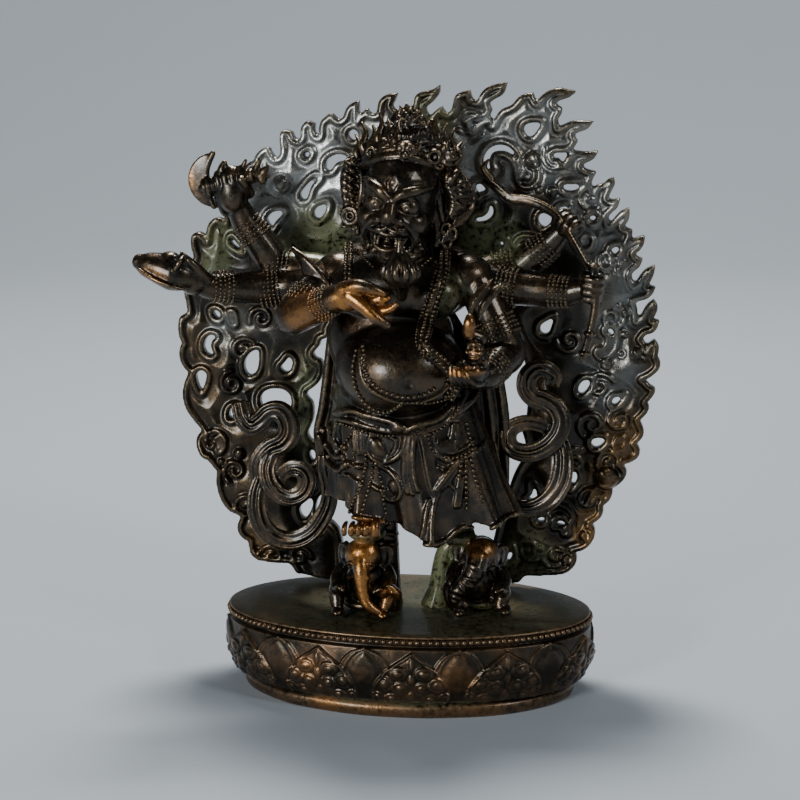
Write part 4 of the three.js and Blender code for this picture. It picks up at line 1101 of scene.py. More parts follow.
def crown(clay):
    """The crown over the forehead, its leaves and locks, and the topknot's jewelled wheel."""
    ball(clay, seen(404, 154, -3), (13, 10, 7.4))
    ball(clay, seen(406, 143, -2.4), (11.4, 6.6, 8))
    ball(clay, seen(408, 128, -3), (6.4, 4, 6.5))
    hairline = [
        (357, 176, -4), (362, 167, -7.6), (370, 162, -11), (382, 158.5, -13.6), (396, 157, -14.8),
        (409, 157.6, -14.8), (422, 161.5, -13), (433, 169, -9), (440, 180, -4),
    ]
    bar(clay, drawn(*hairline), [0.9, 1.2, 1.3, 1.3, 1.3, 1.3, 1.3, 1.2, 0.9], 0.8)
    rim = smooth([seen(px, py - 4, y + 0.2) for px, py, y in hairline[1:-1]], gap=1.25)[0]
    for place in rim:
        dot(clay, place, (0.62, 0.6, 0.62))
    bar(
        clay, [seen(px, py - 7.5, y + 0.8) for px, py, y in hairline[1:-1]], [0.6, 0.9, 1, 1, 1, 0.9, 0.6],
        0.7,
    )
    # The lion's mask in front, with a bead under it.
    ball(clay, seen(406, 149, -13), (3.4, 2.6, 2.8))
    dot(clay, seen(405, 156, -16), (1.2, 1, 1.2))
    for s in both:
        ring(clay, seen(406 + s * 5, 148, -15.2), 0.95, 0.4, (s * 0.3, -1, 0), 12, 6)
        lock(
            clay,
            drawn(
                (406 + s * 6, 152, -14.6), (406 + s * 11, 150, -14), (406 + s * 14, 145, -13.4),
                (406 + s * 11, 141, -13),
            ),
            0.9,
        )
    wire(clay, drawn((398, 152, -15), (405, 154, -15.6), (412, 152, -15)), 0.55)
    # The row of upright petals, and the wheel that stands on it.
    bar(
        clay,
        drawn((393, 141, -9.6), (402, 143, -11.4), (410, 143.4, -11.8), (418, 143, -11.4), (427, 141, -9.6)),
        0.85, 0.8,
    )
    for k in range(8):
        px = 395 + 4.3 * k
        y = -11.6 + ((px - 410) / 15) ** 2 * 2
        dot(clay, seen(px, 137 - 0.02 * (px - 410) ** 2 / 4, y), (0.72, 0.8, 1.5))
        dot(clay, seen(px + 2, 132.5, y + 0.7), (0.6, 0.7, 1.1))
    hub = seen(410.5, 124, -8.6)
    ball(clay, hub, (3.3, 1.6, 3.3))
    ring(clay, hub + (0, -1.1, 0), 3.2, 0.62, (0.1, -1, 0.1), 22)
    ring(clay, hub + (0, -1.5, 0), 1.2, 0.45, (0.1, -1, 0.1), 14, 6)
    for t in np.linspace(0, tau, 8, endpoint=False):
        dot(clay, hub + (2.2 * cos(t), -1.4, 2.2 * sin(t)), (0.6, 0.6, 0.6))
    for t in np.linspace(-0.5, 3.64, 9):
        dot(clay, hub + (4.2 * cos(t), -0.3, 4.2 * sin(t)), (0.75, 0.8, 0.75))
    bar(clay, drawn((409, 117, -6), (408, 111, -6), (406, 103.5, -6)), [2.3, 1.8, 0.3], step=0.5)
    for s in both:
        lock(
            clay,
            drawn(
                (408 + s * 5, 119, -6.4), (408 + s * 8, 114, -6.4), (407 + s * 6, 109, -6.4),
                (407 + s * 8, 105, -6.4),
            ),
            1.0,
        )
    # Flame-like locks that rise behind the crown on both sides.
    for root, tip, y in (
        ((361, 164), (355, 134), -4), ((367, 160), (362, 122), -6), ((374, 157), (372, 124), -7.6),
        ((381, 154), (379, 112), -8.4), ((388, 151), (388, 119), -9.4), ((394, 148), (397, 109), -9.4),
        ((421, 148), (421, 108), -9.2), ((427, 151), (431, 119), -9), ((434, 154), (438, 112), -7.6),
        ((441, 157), (447, 124), -6.4), ((448, 160), (455, 128), -5), ((454, 165), (462, 142), -3.6),
    ):
        lean = 2.4 if tip[0] < 408 else -2.4
        middle = (root[0] * 0.62 + tip[0] * 0.38 - lean, root[1] * 0.62 + tip[1] * 0.38)
        neck = (root[0] * 0.3 + tip[0] * 0.7 + lean, root[1] * 0.3 + tip[1] * 0.7)
        lock(clay, drawn((*root, y), (*middle, y + 0.4), (*neck, y + 2), (*tip, y + 4)), 1.32, 0.9)
    for px, py in ((371, 152), (383, 151), (391, 148)):
        ring(clay, seen(px, py, -11.6), 1.3, 0.5, (-0.3, -1, 0.1), 14, 6)
    for px, py, tip in ((386, 154, -4), (392, 151, -1)):
        lock(
            clay,
            drawn((px, py, -12), (px - 3, py - 7, -11.6), (px + 1, py - 11, -11), (px + tip, py - 16, -10.6)),
            1.3, 0.7,
        )
    # The curled leaf at the right.
    ball(clay, seen(440, 157, -8), (4.6, 2.6, 3.8))
    for px, py in ((427, 147), (436, 144.5), (446, 142), (455, 149), (458, 158), (452, 166)):
        x, y = px - 440, py - 157
        lock(
            clay,
            drawn(
                (440 + x * 0.2, 157 + y * 0.2, -9.4), (440 + x * 0.6 - y * 0.1, 157 + y * 0.6, -10),
                (440 + x * 0.85 + y * 0.1, 157 + y * 0.85, -9.4), (px, py, -8.4),
            ),
            1.35, 0.7,
        )
    ring(clay, seen(434, 157, -11.2), 1.75, 0.62, (0.3, -1, 0.1), 18)
    ring(clay, seen(439, 164.5, -10.4), 1.3, 0.55, (0.4, -1, 0.1), 14, 6)
    ring(clay, seen(447, 155, -9.8), 1.4, 0.5, (0.5, -1, 0.1), 14, 6)


def hair(clay):
    """The hair behind the head, the tufts over the ears, and the earrings."""
    ball(clay, (0, 1.5, 130), (13.4, 6.6, 14))
    ball(clay, (0.6, 2, 142), (9.6, 6.8, 9))
    # Flame-like locks in three layers round the back of the head.
    for layer, (root, tip, y, thick) in enumerate(
        ((11, 17, 2.6, 1.9), (9, 15.4, 6, 1.8), (4.5, 11, 8.4, 1.7))
    ):
        for k, t in enumerate(np.linspace(-2.2, 2.2, 23 - layer * 4)):
            t += 0.07 * sin(k * 2.3 + layer)
            far = tip + 0.8 * sin(k * 1.7 + layer * 2)
            bend = 0.22 if t > 0 else -0.22
            points = []
            for u, turn in ((0, 0), (0.4, -bend * 0.6), (0.75, bend * 0.3), (1, bend)):
                r = root + (far - root) * u
                a = t + turn * 0.6
                points.append(
                    (0.4 + r * sin(a), y + (1 - u) * 1.2, 131 + r * cos(a) * (1 if t * t < 2.4 else 0.9))
                )
            lock(clay, points, thick, 0.75)
    # The tuft over the right ear: locks lying one over another, inside a rolled edge.
    ball(clay, seen(353, 182, -2.6), (4.2, 3.8, 8.4))
    ball(clay, seen(361, 184, -2), (3.6, 5, 9.6))
    for k in range(6):
        px, py = 351 - 3 * sin(k * 0.6), 164 + k * 8
        lock(
            clay,
            drawn((px + 5, py + 5, -6), (px - 2, py + 3, -6.6), (px - 5, py - 2, -6), (px - 1, py - 5, -5.4)),
            1.45, 0.8,
        )
        lock(
            clay,
            drawn((px + 8, py + 1, -7), (px + 3, py - 1, -7.8), (px, py - 5, -7.4), (px + 4, py - 8, -6.6)),
            0.85, 0.9,
        )
    bar(clay, drawn((358, 160, -5), (362, 178, -7), (361, 196, -8), (357, 212, -7)), [0.7, 1, 1, 0.6], 0.7)
    # The tuft over the left ear: a round mass of feathered locks inside a turned rim.
    ball(clay, seen(453, 198, -2), (6, 4.4, 8.8))
    marks = [(450, 168), (462, 174), (470, 186), (473, 200), (470, 213), (462, 223), (451, 227)]
    bar(clay, [seen(px, py, -3) for px, py in marks], 0.62, 0.9, sides=10)
    for k, (px, py) in enumerate(
        ((451, 167), (461, 172), (468, 181), (472, 192), (473, 203), (470, 213), (464, 221), (455, 227))
    ):
        root = (445 + 0.6 * k, 190 + 2.6 * k)
        sweep = 4 + 2 * sin(k * 2.1)
        points = [
            (*root, -7.8), (root[0] * 0.6 + px * 0.4, root[1] * 0.6 + py * 0.4 - sweep, -8.8),
            (root[0] * 0.25 + px * 0.75, root[1] * 0.25 + py * 0.75 - sweep, -6.8), (px, py, -3.6),
        ]
        lock(clay, drawn(*points), 1.12 + 0.12 * sin(k * 1.7), 0.9)
        short = [
            (*root, -8.4), (root[0] * 0.75 + px * 0.25, root[1] * 0.75 + py * 0.25 + 1, -9.4),
            (root[0] * 0.55 + px * 0.45, root[1] * 0.55 + py * 0.45 + 2, -8.8),
            (root[0] * 0.4 + px * 0.6, root[1] * 0.4 + py * 0.6, -7.6),
        ]
        lock(clay, drawn(*short), 0.72, 0.9)
    bar(
        clay, drawn((441, 176, -7), (438, 190, -8.4), (440, 206, -8.4), (443, 222, -7)), [0.8, 1.1, 1.1, 0.8],
        0.8,
    )
    # Its ribbon, and the flower that hangs from the left ear.
    bar(
        clay, drawn((473, 198, -3), (470, 209, -4.6), (460, 219, -6), (452, 228, -7)), [1.1, 1.5, 1.4, 0.9],
        0.5, (0.3, -1, 0.2),
    )
    for px, py in ((441, 237), (452, 234), (446, 229), (447, 242)):
        ring(clay, seen(px, py, -7.4), 1.35, 0.55, (0.2, -1, 0), 16, 8, 1.3)
    dot(clay, seen(447, 236, -7), (2.2, 1, 2.2))
    # The right ear's round earring, hung from a strap.
    wire(clay, drawn((358, 196, -7), (359, 204, -7.4), (357, 211, -7.4)), [0.7, 0.8, 0.7], 0.7)
    ring(clay, seen(350, 216, -7.4), 2.5, 0.7, (-0.2, -1, 0), 20)
    ring(clay, seen(350, 216, -8), 1.2, 0.5, (-0.2, -1, 0), 14, 6)
    dot(clay, seen(350, 216, -6.8), (2.3, 1, 2.3))
    for px, py in ((342, 212), (345, 224), (354, 226)):
        ring(clay, seen(px, py, -7), 1.0, 0.45, (-0.2, -1, 0), 12, 6)


def head():
    clay = bmesh.new()
    dents = []
    ball(clay, (0, -4.5, 1), (10.6, 11, 13.4), None, 4)
    ball(clay, (0, -3.6, 7), (11.1, 12.2, 9.6))
    ball(clay, (0, -7.2, -9.8), (7.6, 7.4, 3.4))
    ball(clay, (0, -13.4, -10.6), (3.3, 2.3, 1.9))
    for s in both:
        face_side(clay, s)
    bar(clay, [(0, -15, 4.6), (0, -16, 2.2), (0, -17.2, -0.8)], [1.7, 1.9, 2.4])
    ball(clay, (0, -17.2, -1.6), (2.7, 2, 1.9))
    # The third eye, upright in the forehead.
    dot(clay, (0, -14.5, 7.6), (1.3, 1.3, 1.7))
    for s in both:
        wire(
            clay, [(0, -14.8, 10.2), (s * 1.5, -15.3, 8.2), (s * 1.4, -15.7, 6.9), (0, -15.8, 5.4)],
            [0.3, 0.45, 0.45, 0.3],
        )
    # Lips, teeth and the curled tongue.
    wire(
        clay,
        [(-5.4, -13.8, -6.2), (-2.8, -16, -5.6), (0, -16.5, -5.9), (2.8, -16, -5.6), (5.4, -13.8, -6.2)],
        [0.5, 0.65, 0.7, 0.65, 0.5],
    )
    wire(
        clay,
        [(-5.4, -13.8, -6.3), (-3.4, -15.2, -9.2), (0, -16, -10.3), (3.4, -15.2, -9.2), (5.4, -13.8, -6.3)],
        [0.5, 0.75, 0.85, 0.75, 0.5],
    )
    for k in range(6):
        x = (k - 2.5) * 0.95
        dot(clay, (x, -15.3 + x * x * 0.07, -6.6), (0.46, 0.5, 0.75))
        dot(clay, (x * 0.8, -14.7 + x * x * 0.07, -9.4), (0.42, 0.45, 0.6))
    bar(clay, [(0, -12.4, -8.2), (0, -14.4, -8.5), (0, -15.6, -7.7)], [1.9, 1.7, 0.9], 0.45, (0, 0.2, 1))
    dents += [((s * 1.9, -17.2, -3.8), 0.7, 0.8) for s in both]
    dents += [((s * 4.9, -16.1, 2.2), 0.35, 0.5) for s in both]
    dents += [((0, -16, 8.5), 0.4, 0.4)]
    leaning = Matrix.Translation((-1.5, -4, 128)) @ turned(-5, "Z", 4) @ turned(7, "Y", 4)
    placed = leaning @ Matrix.Diagonal((1.04, 1, 1.12, 1))
    bmesh.ops.transform(clay, matrix=placed, verts=clay.verts)
    dents = [(leaning @ Vector(middle), radius, depth) for middle, radius, depth in dents]
    crown(clay)
    hair(clay)
    mesh = fused(clay, 0.3, 2, before_dents)
    press(mesh, dents)
    return thinned(mesh, most_triangles["head"])


# Body, skirt and hide

skirt_rows = np.array(
    [
        (74, -1.3, 20.6, 14.2, 0), (72, -1.3, 21, 14.5, 0.1), (57, 0.4, 24.2, 15.5, 0.7),
        (41, 3.6, 26.6, 16, 1.5), (29, 5.6, 29, 16, 2.3),
    ]
)[::-1]
hem_marks = [
    (-33, 36), (-24, 36), (-17.8, 35.1), (-15.6, 32.7), (-13.1, 31.1), (-9.9, 31.3), (-6.1, 31.1), (-1.1, 30),
    (4.6, 27.3), (9.6, 25.2), (11.5, 23.7), (15.2, 25.5), (19, 28.8), (21.9, 31), (25.8, 30.7), (29.5, 29.9),
    (34, 31),
]


def skirt(clay):
    """The tiger-skin skirt, drawn up at the waist and falling in deep pleats to an uneven hem."""
    rows = 90
    mesh, co = core(bar_mesh, 180, rows)
    share = np.arccos(np.clip(-co[:, 2], -1, 1)) / pi
    angle = np.arctan2(co[:, 1], co[:, 0])
    rise = np.clip((share - 0.14) / 0.76, 0, 1)
    height = 30 + 43 * rise
    mid, wide, deep, fold = (np.interp(height, skirt_rows[:, 0], skirt_rows[:, k]) for k in (1, 2, 3, 4))
    pleat = np.cos(
        angle * 9 + 0.6 + 0.5 * np.sin(angle * 2)
    ) + 0.45 * np.cos(angle * 23 + 2 * np.sin(angle * 3))
    front = np.clip(-np.sin(angle), 0, 1)
    pull = 1.15 * fold * pleat * (1 - 0.55 * front * np.clip(rise * 3, 0, 1))
    inner = np.clip(share / 0.14, 0, 1) ** 0.5
    top = np.clip((1 - share) / 0.1, 0, 1) ** 0.5
    flatten = 1 / (np.abs(np.cos(angle)) ** 2.6 + np.abs(np.sin(angle)) ** 2.6) ** (1 / 2.6)
    x = mid + (wide * flatten + pull) * np.cos(angle) * inner * top
    y = -2 + (deep * flatten + pull) * np.sin(angle) * inner * top
    marks = np.array(hem_marks)
    hem = np.where(y < 2, np.interp(x, marks[:, 0], marks[:, 1]), 31 - 1.6 * np.cos(angle * 5 + 1))
    z = height + (hem - 30) * (1 - rise) ** 1.5 + 3.5 * (1 - inner) * (share < 0.14)
    lay(clay, mesh, np.column_stack([x, y, z]))


def ripples(count, high, flat):
    """A ribbon's section, ridged along its outer side by creases that drift and fade."""

    def section(angle, along):
        a = np.cos(angle)
        o = np.sign(np.sin(angle)) * np.abs(np.sin(angle)) ** 0.7 * flat
        crease = np.cos((a + 0.16 * np.sin(along * 8 + 1)) * pi * count + 1.2 * np.sin(along * 5))
        depth = high * (0.6 + 0.4 * np.sin(along * 12 + a * 2.5))
        return a, o + np.where(np.sin(angle) > 0, depth * crease, 0)

    return section


def body_form():
    clay = bmesh.new()
    skirt(clay)
    ball(clay, (-1.2, -8.8, 78.4), (20.6, 17.8, 15.4), None, 4)
    ball(clay, (-3, -3.6, 103), (24, 11.6, 11.6), None, 4)
    ball(clay, (-5.2, -1.6, 86), (20, 12.4, 19), None, 4)
    ball(clay, (-1.6, 0, 72), (22.6, 13, 12), None, 4)
    for s in both:
        ball(clay, (-1.4 + s * 9.4, -9.4, 101.6), (9.8, 6, 7.4))
        ball(clay, (-1.6 + s * 20, -1, 106.5), (8.2, 7.6, 7.2))
        ball(clay, (-1.6 + s * 12, 2, 111), (10, 6, 5))
    bar(clay, [(-1.5, -3, 105), (-1.8, -5, 120)], [9, 7.4], sides=20)
    for k, z in enumerate((112.6, 114.8)):
        ring(clay, (-1.7, -4.4 - k * 0.3, z), 8 - k * 0.4, 0.9, (0, 0.25, -1), 24)
    # The hide that hangs down the back, its edges falling in long folds at both sides.
    bar(
        clay, [(-3.4, 6.5, 112), (-5, 8, 94), (-2.6, 8.6, 76), (-1, 8.6, 58), (2.4, 8.6, 40)],
        [20, 18.4, 24, 25.4, 21], 0.16, (0, 1, 0), 64, 1.5, section=ripples(9, 0.02, 0.13),
    )
    for k in range(6):
        out, thick = 5.6 - 1.1 * (k % 2), 1.15 + 0.35 * (k % 2)
        x = -19 - k * 2.1
        wire(
            clay,
            [
                (x * 0.8, out, 103), (x * 0.87, out, 84), (x * 0.95, out, 64), (x * 1.02, out, 54),
                (x * 0.99, out + 0.6, 43 - k * 0.5),
            ],
            [0.9, thick, thick * 1.15, thick, 0.7],
        )
        x = 18.4 + k * 2.1
        wire(
            clay,
            [(x * 0.78, out, 89), (x * 0.93, out, 79), (x + 1, out, 62), (x + 2, out + 0.6, 43 - k * 0.6)],
            [0.7, thick, thick * 1.15, 0.9],
        )
    # The belt, its knot, and the sashes that fall from it.
    bar(
        clay,
        [
            (-23, -3, 68.5), (-15.4, -13.6, 65.4), (1.5, -17.6, 62.8), (15.6, -14, 66.4), (22, -3, 72),
            (10, 9, 72), (-12, 9, 70), (-23, -3, 68.5),
        ],
        2.0, 0.75,
    )
    # Legs and the strut behind them.
    for leg in (
        ((-6, -4, 40), (-7.4, -5.5, 35), (-8.8, -7, 30), (-9.6, -9, 27.6)),
        ((15, -2, 40), (15.8, -1.4, 33), (16.6, -1, 27), (17, -1.4, 23.6)),
    ):
        bar(clay, leg, [5.4, 4.8, 4, 3.6], sides=16)
    bar(clay, [(13, 1.6, 32), (11.2, 2.4, 16), (11.2, 2.4, 8), (11.2, 2.4, 0.6)], [2.4, 2.6, 3, 3.6], 0.6)
    return clay


# Raised lines on the body, drawn where the picture shows them: each a radius and its places.
raised_lines = [
    # The broad beaded cord over the left shoulder.
    (1.3, [(444, 250), (441, 270), (437, 287), (431, 304), (426, 322), (422, 340), (430, 353), (440, 361),
        (450, 371), (454, 382), (450, 394)]),
    # The belt's cords and its buckle.
    (0.8, [(336, 413), (352, 411), (364, 415), (380, 419), (394, 423), (403, 427)]),
    (0.7, [(336, 418), (350, 421), (366, 426), (380, 429), (395, 431)]),
    (0.8, [(406, 430), (418, 425), (436, 420), (449, 411), (457, 400), (464, 389)]),
    (0.7, [(408, 433), (424, 432), (440, 425), (452, 416), (460, 404), (467, 392)]),
    (0.6, [(420, 428), (438, 417), (450, 406), (457, 394)]),
    # The fringe at the right hip and the edge of the panel beside it.
    (0.45, [(355, 426), (354, 438), (355, 450)]),
    (0.45, [(359, 426), (358, 440), (359, 453)]),
    (0.45, [(363, 427), (362, 440), (363, 453)]),
    (0.45, [(367, 428), (366, 440), (367, 452)]),
    (0.55, [(337, 420), (335, 438), (337, 451), (345, 460), (356, 466), (365, 466)]),
    # The pouched folds of the hide at the right hip.
    (0.9, [(319, 436), (323, 450), (330, 463), (340, 470), (347, 464)]),
    (0.8, [(323, 430), (328, 445), (336, 456), (344, 456)]),
    (0.7, [(330, 425), (334, 438), (340, 447), (346, 447)]),
    # The round swag with its cabochon.
    (0.6, [(371, 435), (368, 446), (371, 456), (380, 462), (392, 460), (401, 452), (405, 441), (406, 433)]),
    (0.4, [(374, 437), (372, 447), (377, 457), (386, 458), (394, 451), (396, 441), (389, 436)]),
    # Two sashes and the roll that meets them.
    (0.6, [(407, 432), (405, 452), (404, 476), (408, 492)]),
    (0.6, [(411, 432), (409, 452), (409, 476), (413, 493)]),
    (0.6, [(415, 432), (413, 452), (414, 474), (418, 490)]),
    (0.6, [(419, 431), (423, 446), (426, 464), (430, 484), (434, 496)]),
    (0.6, [(423, 432), (428, 448), (430, 464), (434, 484), (436, 496)]),
    (0.6, [(427, 436), (431, 450), (434, 466), (437, 484), (438, 495)]),
    (0.95, [(460, 460), (451, 469), (443, 480), (436, 489)]),
    (0.5, [(462, 465), (454, 474), (446, 485), (438, 492)]),
    (0.7, [(436, 496), (433, 508), (431, 524), (431, 541)]),
    (0.5, [(429, 500), (426, 512), (424, 528), (422, 538)]),
    # The swag at the left hip, and the ribbons in it.
    (0.6, [(428, 436), (431, 447), (437, 455), (446, 460), (457, 460), (467, 456), (476, 450), (484, 443)]),
    (0.4, [(433, 436), (437, 446), (445, 452), (456, 452), (466, 447), (474, 440)]),
    (0.5, [(453, 424), (451, 440), (449, 453)]),
    (0.5, [(457, 424), (456, 440), (453, 453)]),
    (0.5, [(459, 478), (457, 492), (455, 506)]),
    (0.5, [(463, 478), (461, 492), (459, 506)]),
    (0.4, [(449, 480), (452, 487), (458, 490), (463, 486)]),
    # The scroll at the right knee.
    (0.55, [(379, 465), (390, 471), (398, 481), (401, 491), (398, 499), (390, 500), (384, 496), (382, 490)]),
    (0.45, [(343, 474), (350, 476), (357, 481), (361, 487)]),
    (0.45, [(372, 485), (378, 489), (386, 491), (392, 495)]),
    # The hem.
    (0.6, [(352, 517), (366, 519), (382, 521), (396, 528), (410, 537), (424, 543), (433, 545), (446, 540),
        (455, 532)]),
    (0.6, [(455, 532), (463, 527), (476, 528), (486, 529), (496, 526), (505, 518), (516, 514)]),
    # The edge under the belly, the collar and the shawl.
    (0.6, [(361, 350), (361, 364), (363, 377), (370, 388), (383, 396), (397, 401), (410, 402), (424, 400),
        (438, 394), (448, 385)]),
    (0.5, [(428, 238), (430, 252), (437, 266), (442, 276)]),
    (0.5, [(334, 236), (344, 242), (358, 241), (366, 246)]),
]
bead_lines = [
    (0.6, 1.32, [(449, 254), (448, 272), (444, 290), (438, 307), (433, 324), (429, 340)]),
    (0.6, 1.32, [(436, 262), (432, 284), (427, 300), (422, 314), (418, 330), (417, 345), (424, 356)]),
    (0.78, 1.62, [(346, 245), (346, 262), (346, 276), (347, 289)]),
    (0.78, 1.62, [(351, 245), (351, 262), (350, 276), (350, 289)]),
    (0.6, 1.32, [(357, 250), (364, 258), (373, 267)]),
    (0.6, 1.32, [(431, 259), (421, 267), (411, 273)]),
    (0.78, 1.62, [(442, 252), (440, 270), (436, 285), (431, 300), (426, 318), (422, 334), (421, 345)]),
    (0.78, 1.62, [(446, 252), (445, 270), (441, 288), (436, 302), (431, 320), (427, 335), (426, 346)]),
    (0.6, 1.32, [(438, 264), (434, 280), (429, 296), (424, 312)]),
    (0.78, 1.62, [(421, 347), (429, 354), (438, 361), (446, 369), (451, 378), (451, 388), (446, 396)]),
    (0.78, 1.62, [(428, 347), (437, 354), (446, 361), (453, 369), (457, 379), (457, 389), (452, 399)]),
    (0.6, 1.32, [(424, 353), (433, 359), (442, 366), (448, 374), (447, 384)]),
    (0.78, 1.62, [(357, 351), (354, 364), (354, 377), (357, 390), (364, 401), (374, 409), (386, 412),
        (395, 408), (402, 403)]),
    (0.78, 1.62, [(363, 347), (364, 360), (366, 373), (372, 383), (384, 391), (398, 396), (410, 397),
        (422, 395), (434, 389)]),
    (0.6, 1.32, [(408, 403), (420, 403), (434, 402), (447, 398), (455, 390)]),
    (0.6, 1.32, [(337, 423), (346, 425), (356, 429), (372, 434), (384, 436), (393, 435)]),
    (0.6, 1.32, [(412, 436), (424, 436), (438, 430), (450, 421), (458, 410)]),
    (0.6, 1.32, [(352, 434), (345, 443), (338, 451)]),
    (0.6, 1.32, [(354, 452), (354, 459), (354, 467)]),
    (0.68, 1.45, [(366, 454), (365, 468), (362, 483), (355, 500), (348, 516)]),
    (0.68, 1.45, [(372, 463), (372, 476), (367, 494), (361, 514)]),
    (0.68, 1.45, [(376, 463), (380, 477), (384, 490), (384, 502), (386, 513)]),
    (0.6, 1.32, [(466, 424), (469, 436), (473, 446), (476, 452)]),
    (0.6, 1.32, [(428, 434), (430, 446), (436, 454), (446, 458), (457, 458), (467, 454), (475, 448)]),
    (0.78, 1.65, [(461, 461), (460, 468), (459, 476)]),
    (0.78, 1.65, [(466, 457), (466, 480), (467, 508)]),
    (0.78, 1.65, [(471, 460), (475, 478), (479, 490), (483, 501)]),
]


def strung(clay, places_of, radius):
    for p in places_of:
        bead(clay, p, radius * random.uniform(0.92, 1.06))


def bead_ring(clay, middle, radius, face, size=0.58, gap=1.3):
    """Beads round a limb."""
    count = max(6, int(tau * radius / gap))
    turns = np.linspace(0, tau, count, endpoint=False)
    strung(clay, places_round(middle, radius, face, turns), size)


def body():
    form = fused(body_form(), 0.5, 3, any_number)
    skin = as_skin(form)
    clay = bmesh.new()
    clay.from_mesh(form)
    bpy.data.meshes.remove(form)
    for radius, marks in raised_lines:
        for run in on_skin(skin, marks, radius * 0.55, 0.9):
            bar(clay, run, radius * 1.35, sides=8, step=0.9)
    for mark, radii, roll in (
        ((378, 448), (2.3, 1.7, 4), -32), ((398, 429), (2.3, 1.5, 2.3), 0), ((446, 446), (3.4, 1, 2.6), -20),
        ((440, 474), (2.2, 1.1, 3.4), -50), ((393, 487), (2, 1, 2.4), 0),
    ):
        place, normal = struck(skin, *mark)
        turn = normal.to_track_quat("-Y", "Z").to_matrix() @ turned(roll, "Y")
        ball(clay, place, radii, turn)
    mesh = fused(clay, 0.4, 0, any_number)
    navel, _ = struck(skin, 409, 385)
    press(mesh, [(navel, 1.3, 0.8)])
    mesh = thinned(mesh, most_triangles["body"])
    beads = bmesh.new()
    skin = as_skin(mesh)
    for radius, gap, marks in bead_lines:
        for run in on_skin(skin, marks, radius * 0.35, gap):
            strung(beads, run, radius)
    return mesh, beads


def foot(clay, ankle, instep, toes, drop=1.6):
    """A bare foot: its instep and five toes, each a place and a radius, gripping what it stands on."""
    ball(clay, ankle, (3.8, 4, 3.4))
    roots = [np.array(place, float) for place, _ in toes]
    middle = sum(roots) / 5
    bar(clay, [ankle, instep, middle + (0, 4.2, 0.2)], [3.8, 4.6, 4.8], 0.66, (0, 0, 1), 18, cap=0.2)
    for root, (_, r) in zip(roots, toes):
        points = [root + (0, 4, 0.9), root + (0, 1.4, 1.1), root + (0, -0.6, 0.4), root - (0, 0.6, drop * r)]
        bar(clay, points, [r * 0.8, r * 0.85, r * 1.05, r], sides=10, step=0.5)
        dot(clay, root + (0, -1.3, 0.1), (r * 0.5, 0.4, r * 0.7))


# The attendants

def attendant(clay, place, turn, size, trunk, wrinkled):
    """A crouching elephant-headed attendant: its head under the foot, its limbs drawn up round it."""
    m = turn.to_3x3()

    def at(x, y, z):
        return np.array(place) + np.array(m @ Vector((x, y, z))) * size

    def path(s, *marks):
        return [at(s * x, y, z) for x, y, z in marks]

    ball(clay, at(0, 3, -9), (6.6 * size, 7.5 * size, 8.4 * size))
    ball(clay, (place[0], place[1] + 4, 2.2), (8 * size, 7.5 * size, 2.6 * size))
    ball(clay, at(0, 0, -0.4), (5.9 * size, 5.8 * size, 6.4 * size), turn)
    ball(clay, at(0, -2.4, 0.6), (5.9 * size, 4.8 * size, 5.4 * size), turn)
    for s in both:
        ball(clay, at(s * 2, -2.9, 2.6), (3 * size, 2.9 * size, 2.8 * size), turn)
        # The ear, its rim, the eye and its lids, and the tusk.
        ball(clay, at(s * 6.2, 0.8, 0), (1.6 * size, 2.6 * size, 4 * size), turn)
        wire(
            clay, path(s, (5.6, -1.4, 3), (7.7, 0.2, 2.8), (8.2, 0.8, -0.6), (7, 0, -4.2), (5.6, -1.8, -3)),
            [0.5, 0.7, 0.7, 0.6, 0.4],
        )
        dot(clay, at(s * 3, -6, -1.8), 0.7 * size)
        bar(clay, path(s, (1.7, -6.9, -2), (3, -6.9, -0.9), (4.4, -5.4, -1.8)), 0.4, sides=6, step=0.5)
        bar(clay, path(s, (1.8, -6.8, -2.3), (3, -6.6, -3), (4.3, -5.2, -2.2)), 0.35, sides=6, step=0.5)
        bar(
            clay, path(s, (2.2, -5.6, -4.4), (3, -7.4, -5.6), (3.2, -8.6, -5)), [0.9, 0.7, 0.25], sides=8,
            step=0.5,
        )
        # Arm and leg.
        bar(clay, path(s, (6, 2, -4), (8.6, -1.6, -7.4), (7.4, -6, -10), (6, -7.6, -9)), [2.4, 2.2, 1.8, 1.6])
        for k in range(3):
            dot(clay, at(s * (5 + 0.9 * k), -8.4, -9.4 + k * 0.5), (0.6, 1.2, 0.8))
        ring(clay, at(s * 7.6, -5, -9.4), 2, 0.45, np.array(m @ Vector((s * 0.5, 1, -0.3))), 14, 6)
        heel = at(s * 7.4, -5.4, 0)
        bar(
            clay,
            [at(s * 4, 4, -12.6), at(s * 8.2, -2, -11), at(s * 7.8, -4.8, -15), (heel[0], heel[1], 1.7)],
            [3.4, 2.9, 2.2, 1.7],
        )
        ball(clay, (heel[0], heel[1] - 1.2, 1.4), (2.1 * size, 3 * size, 1.4 * size))
    thick = 1.3 if wrinkled else 1.0
    bar(clay, trunk, [r * thick for r in (3, 2.6, 2.2, 2, 1.8, 1.4)], sides=14, step=0.6)
    if not wrinkled:
        return
    line, _ = smooth(trunk, gap=1.15)
    grad = unit(np.gradient(line, axis=0))
    for k in range(2, len(line) - 1):
        r = np.interp(k / len(line), [0, 1], [3.5, 1.9]) * size
        ring(clay, line[k], r, 0.4, grad[k] + 0.3 * np.sin(k * np.array((1.3, 2.1, 1.7))), 14, 6)


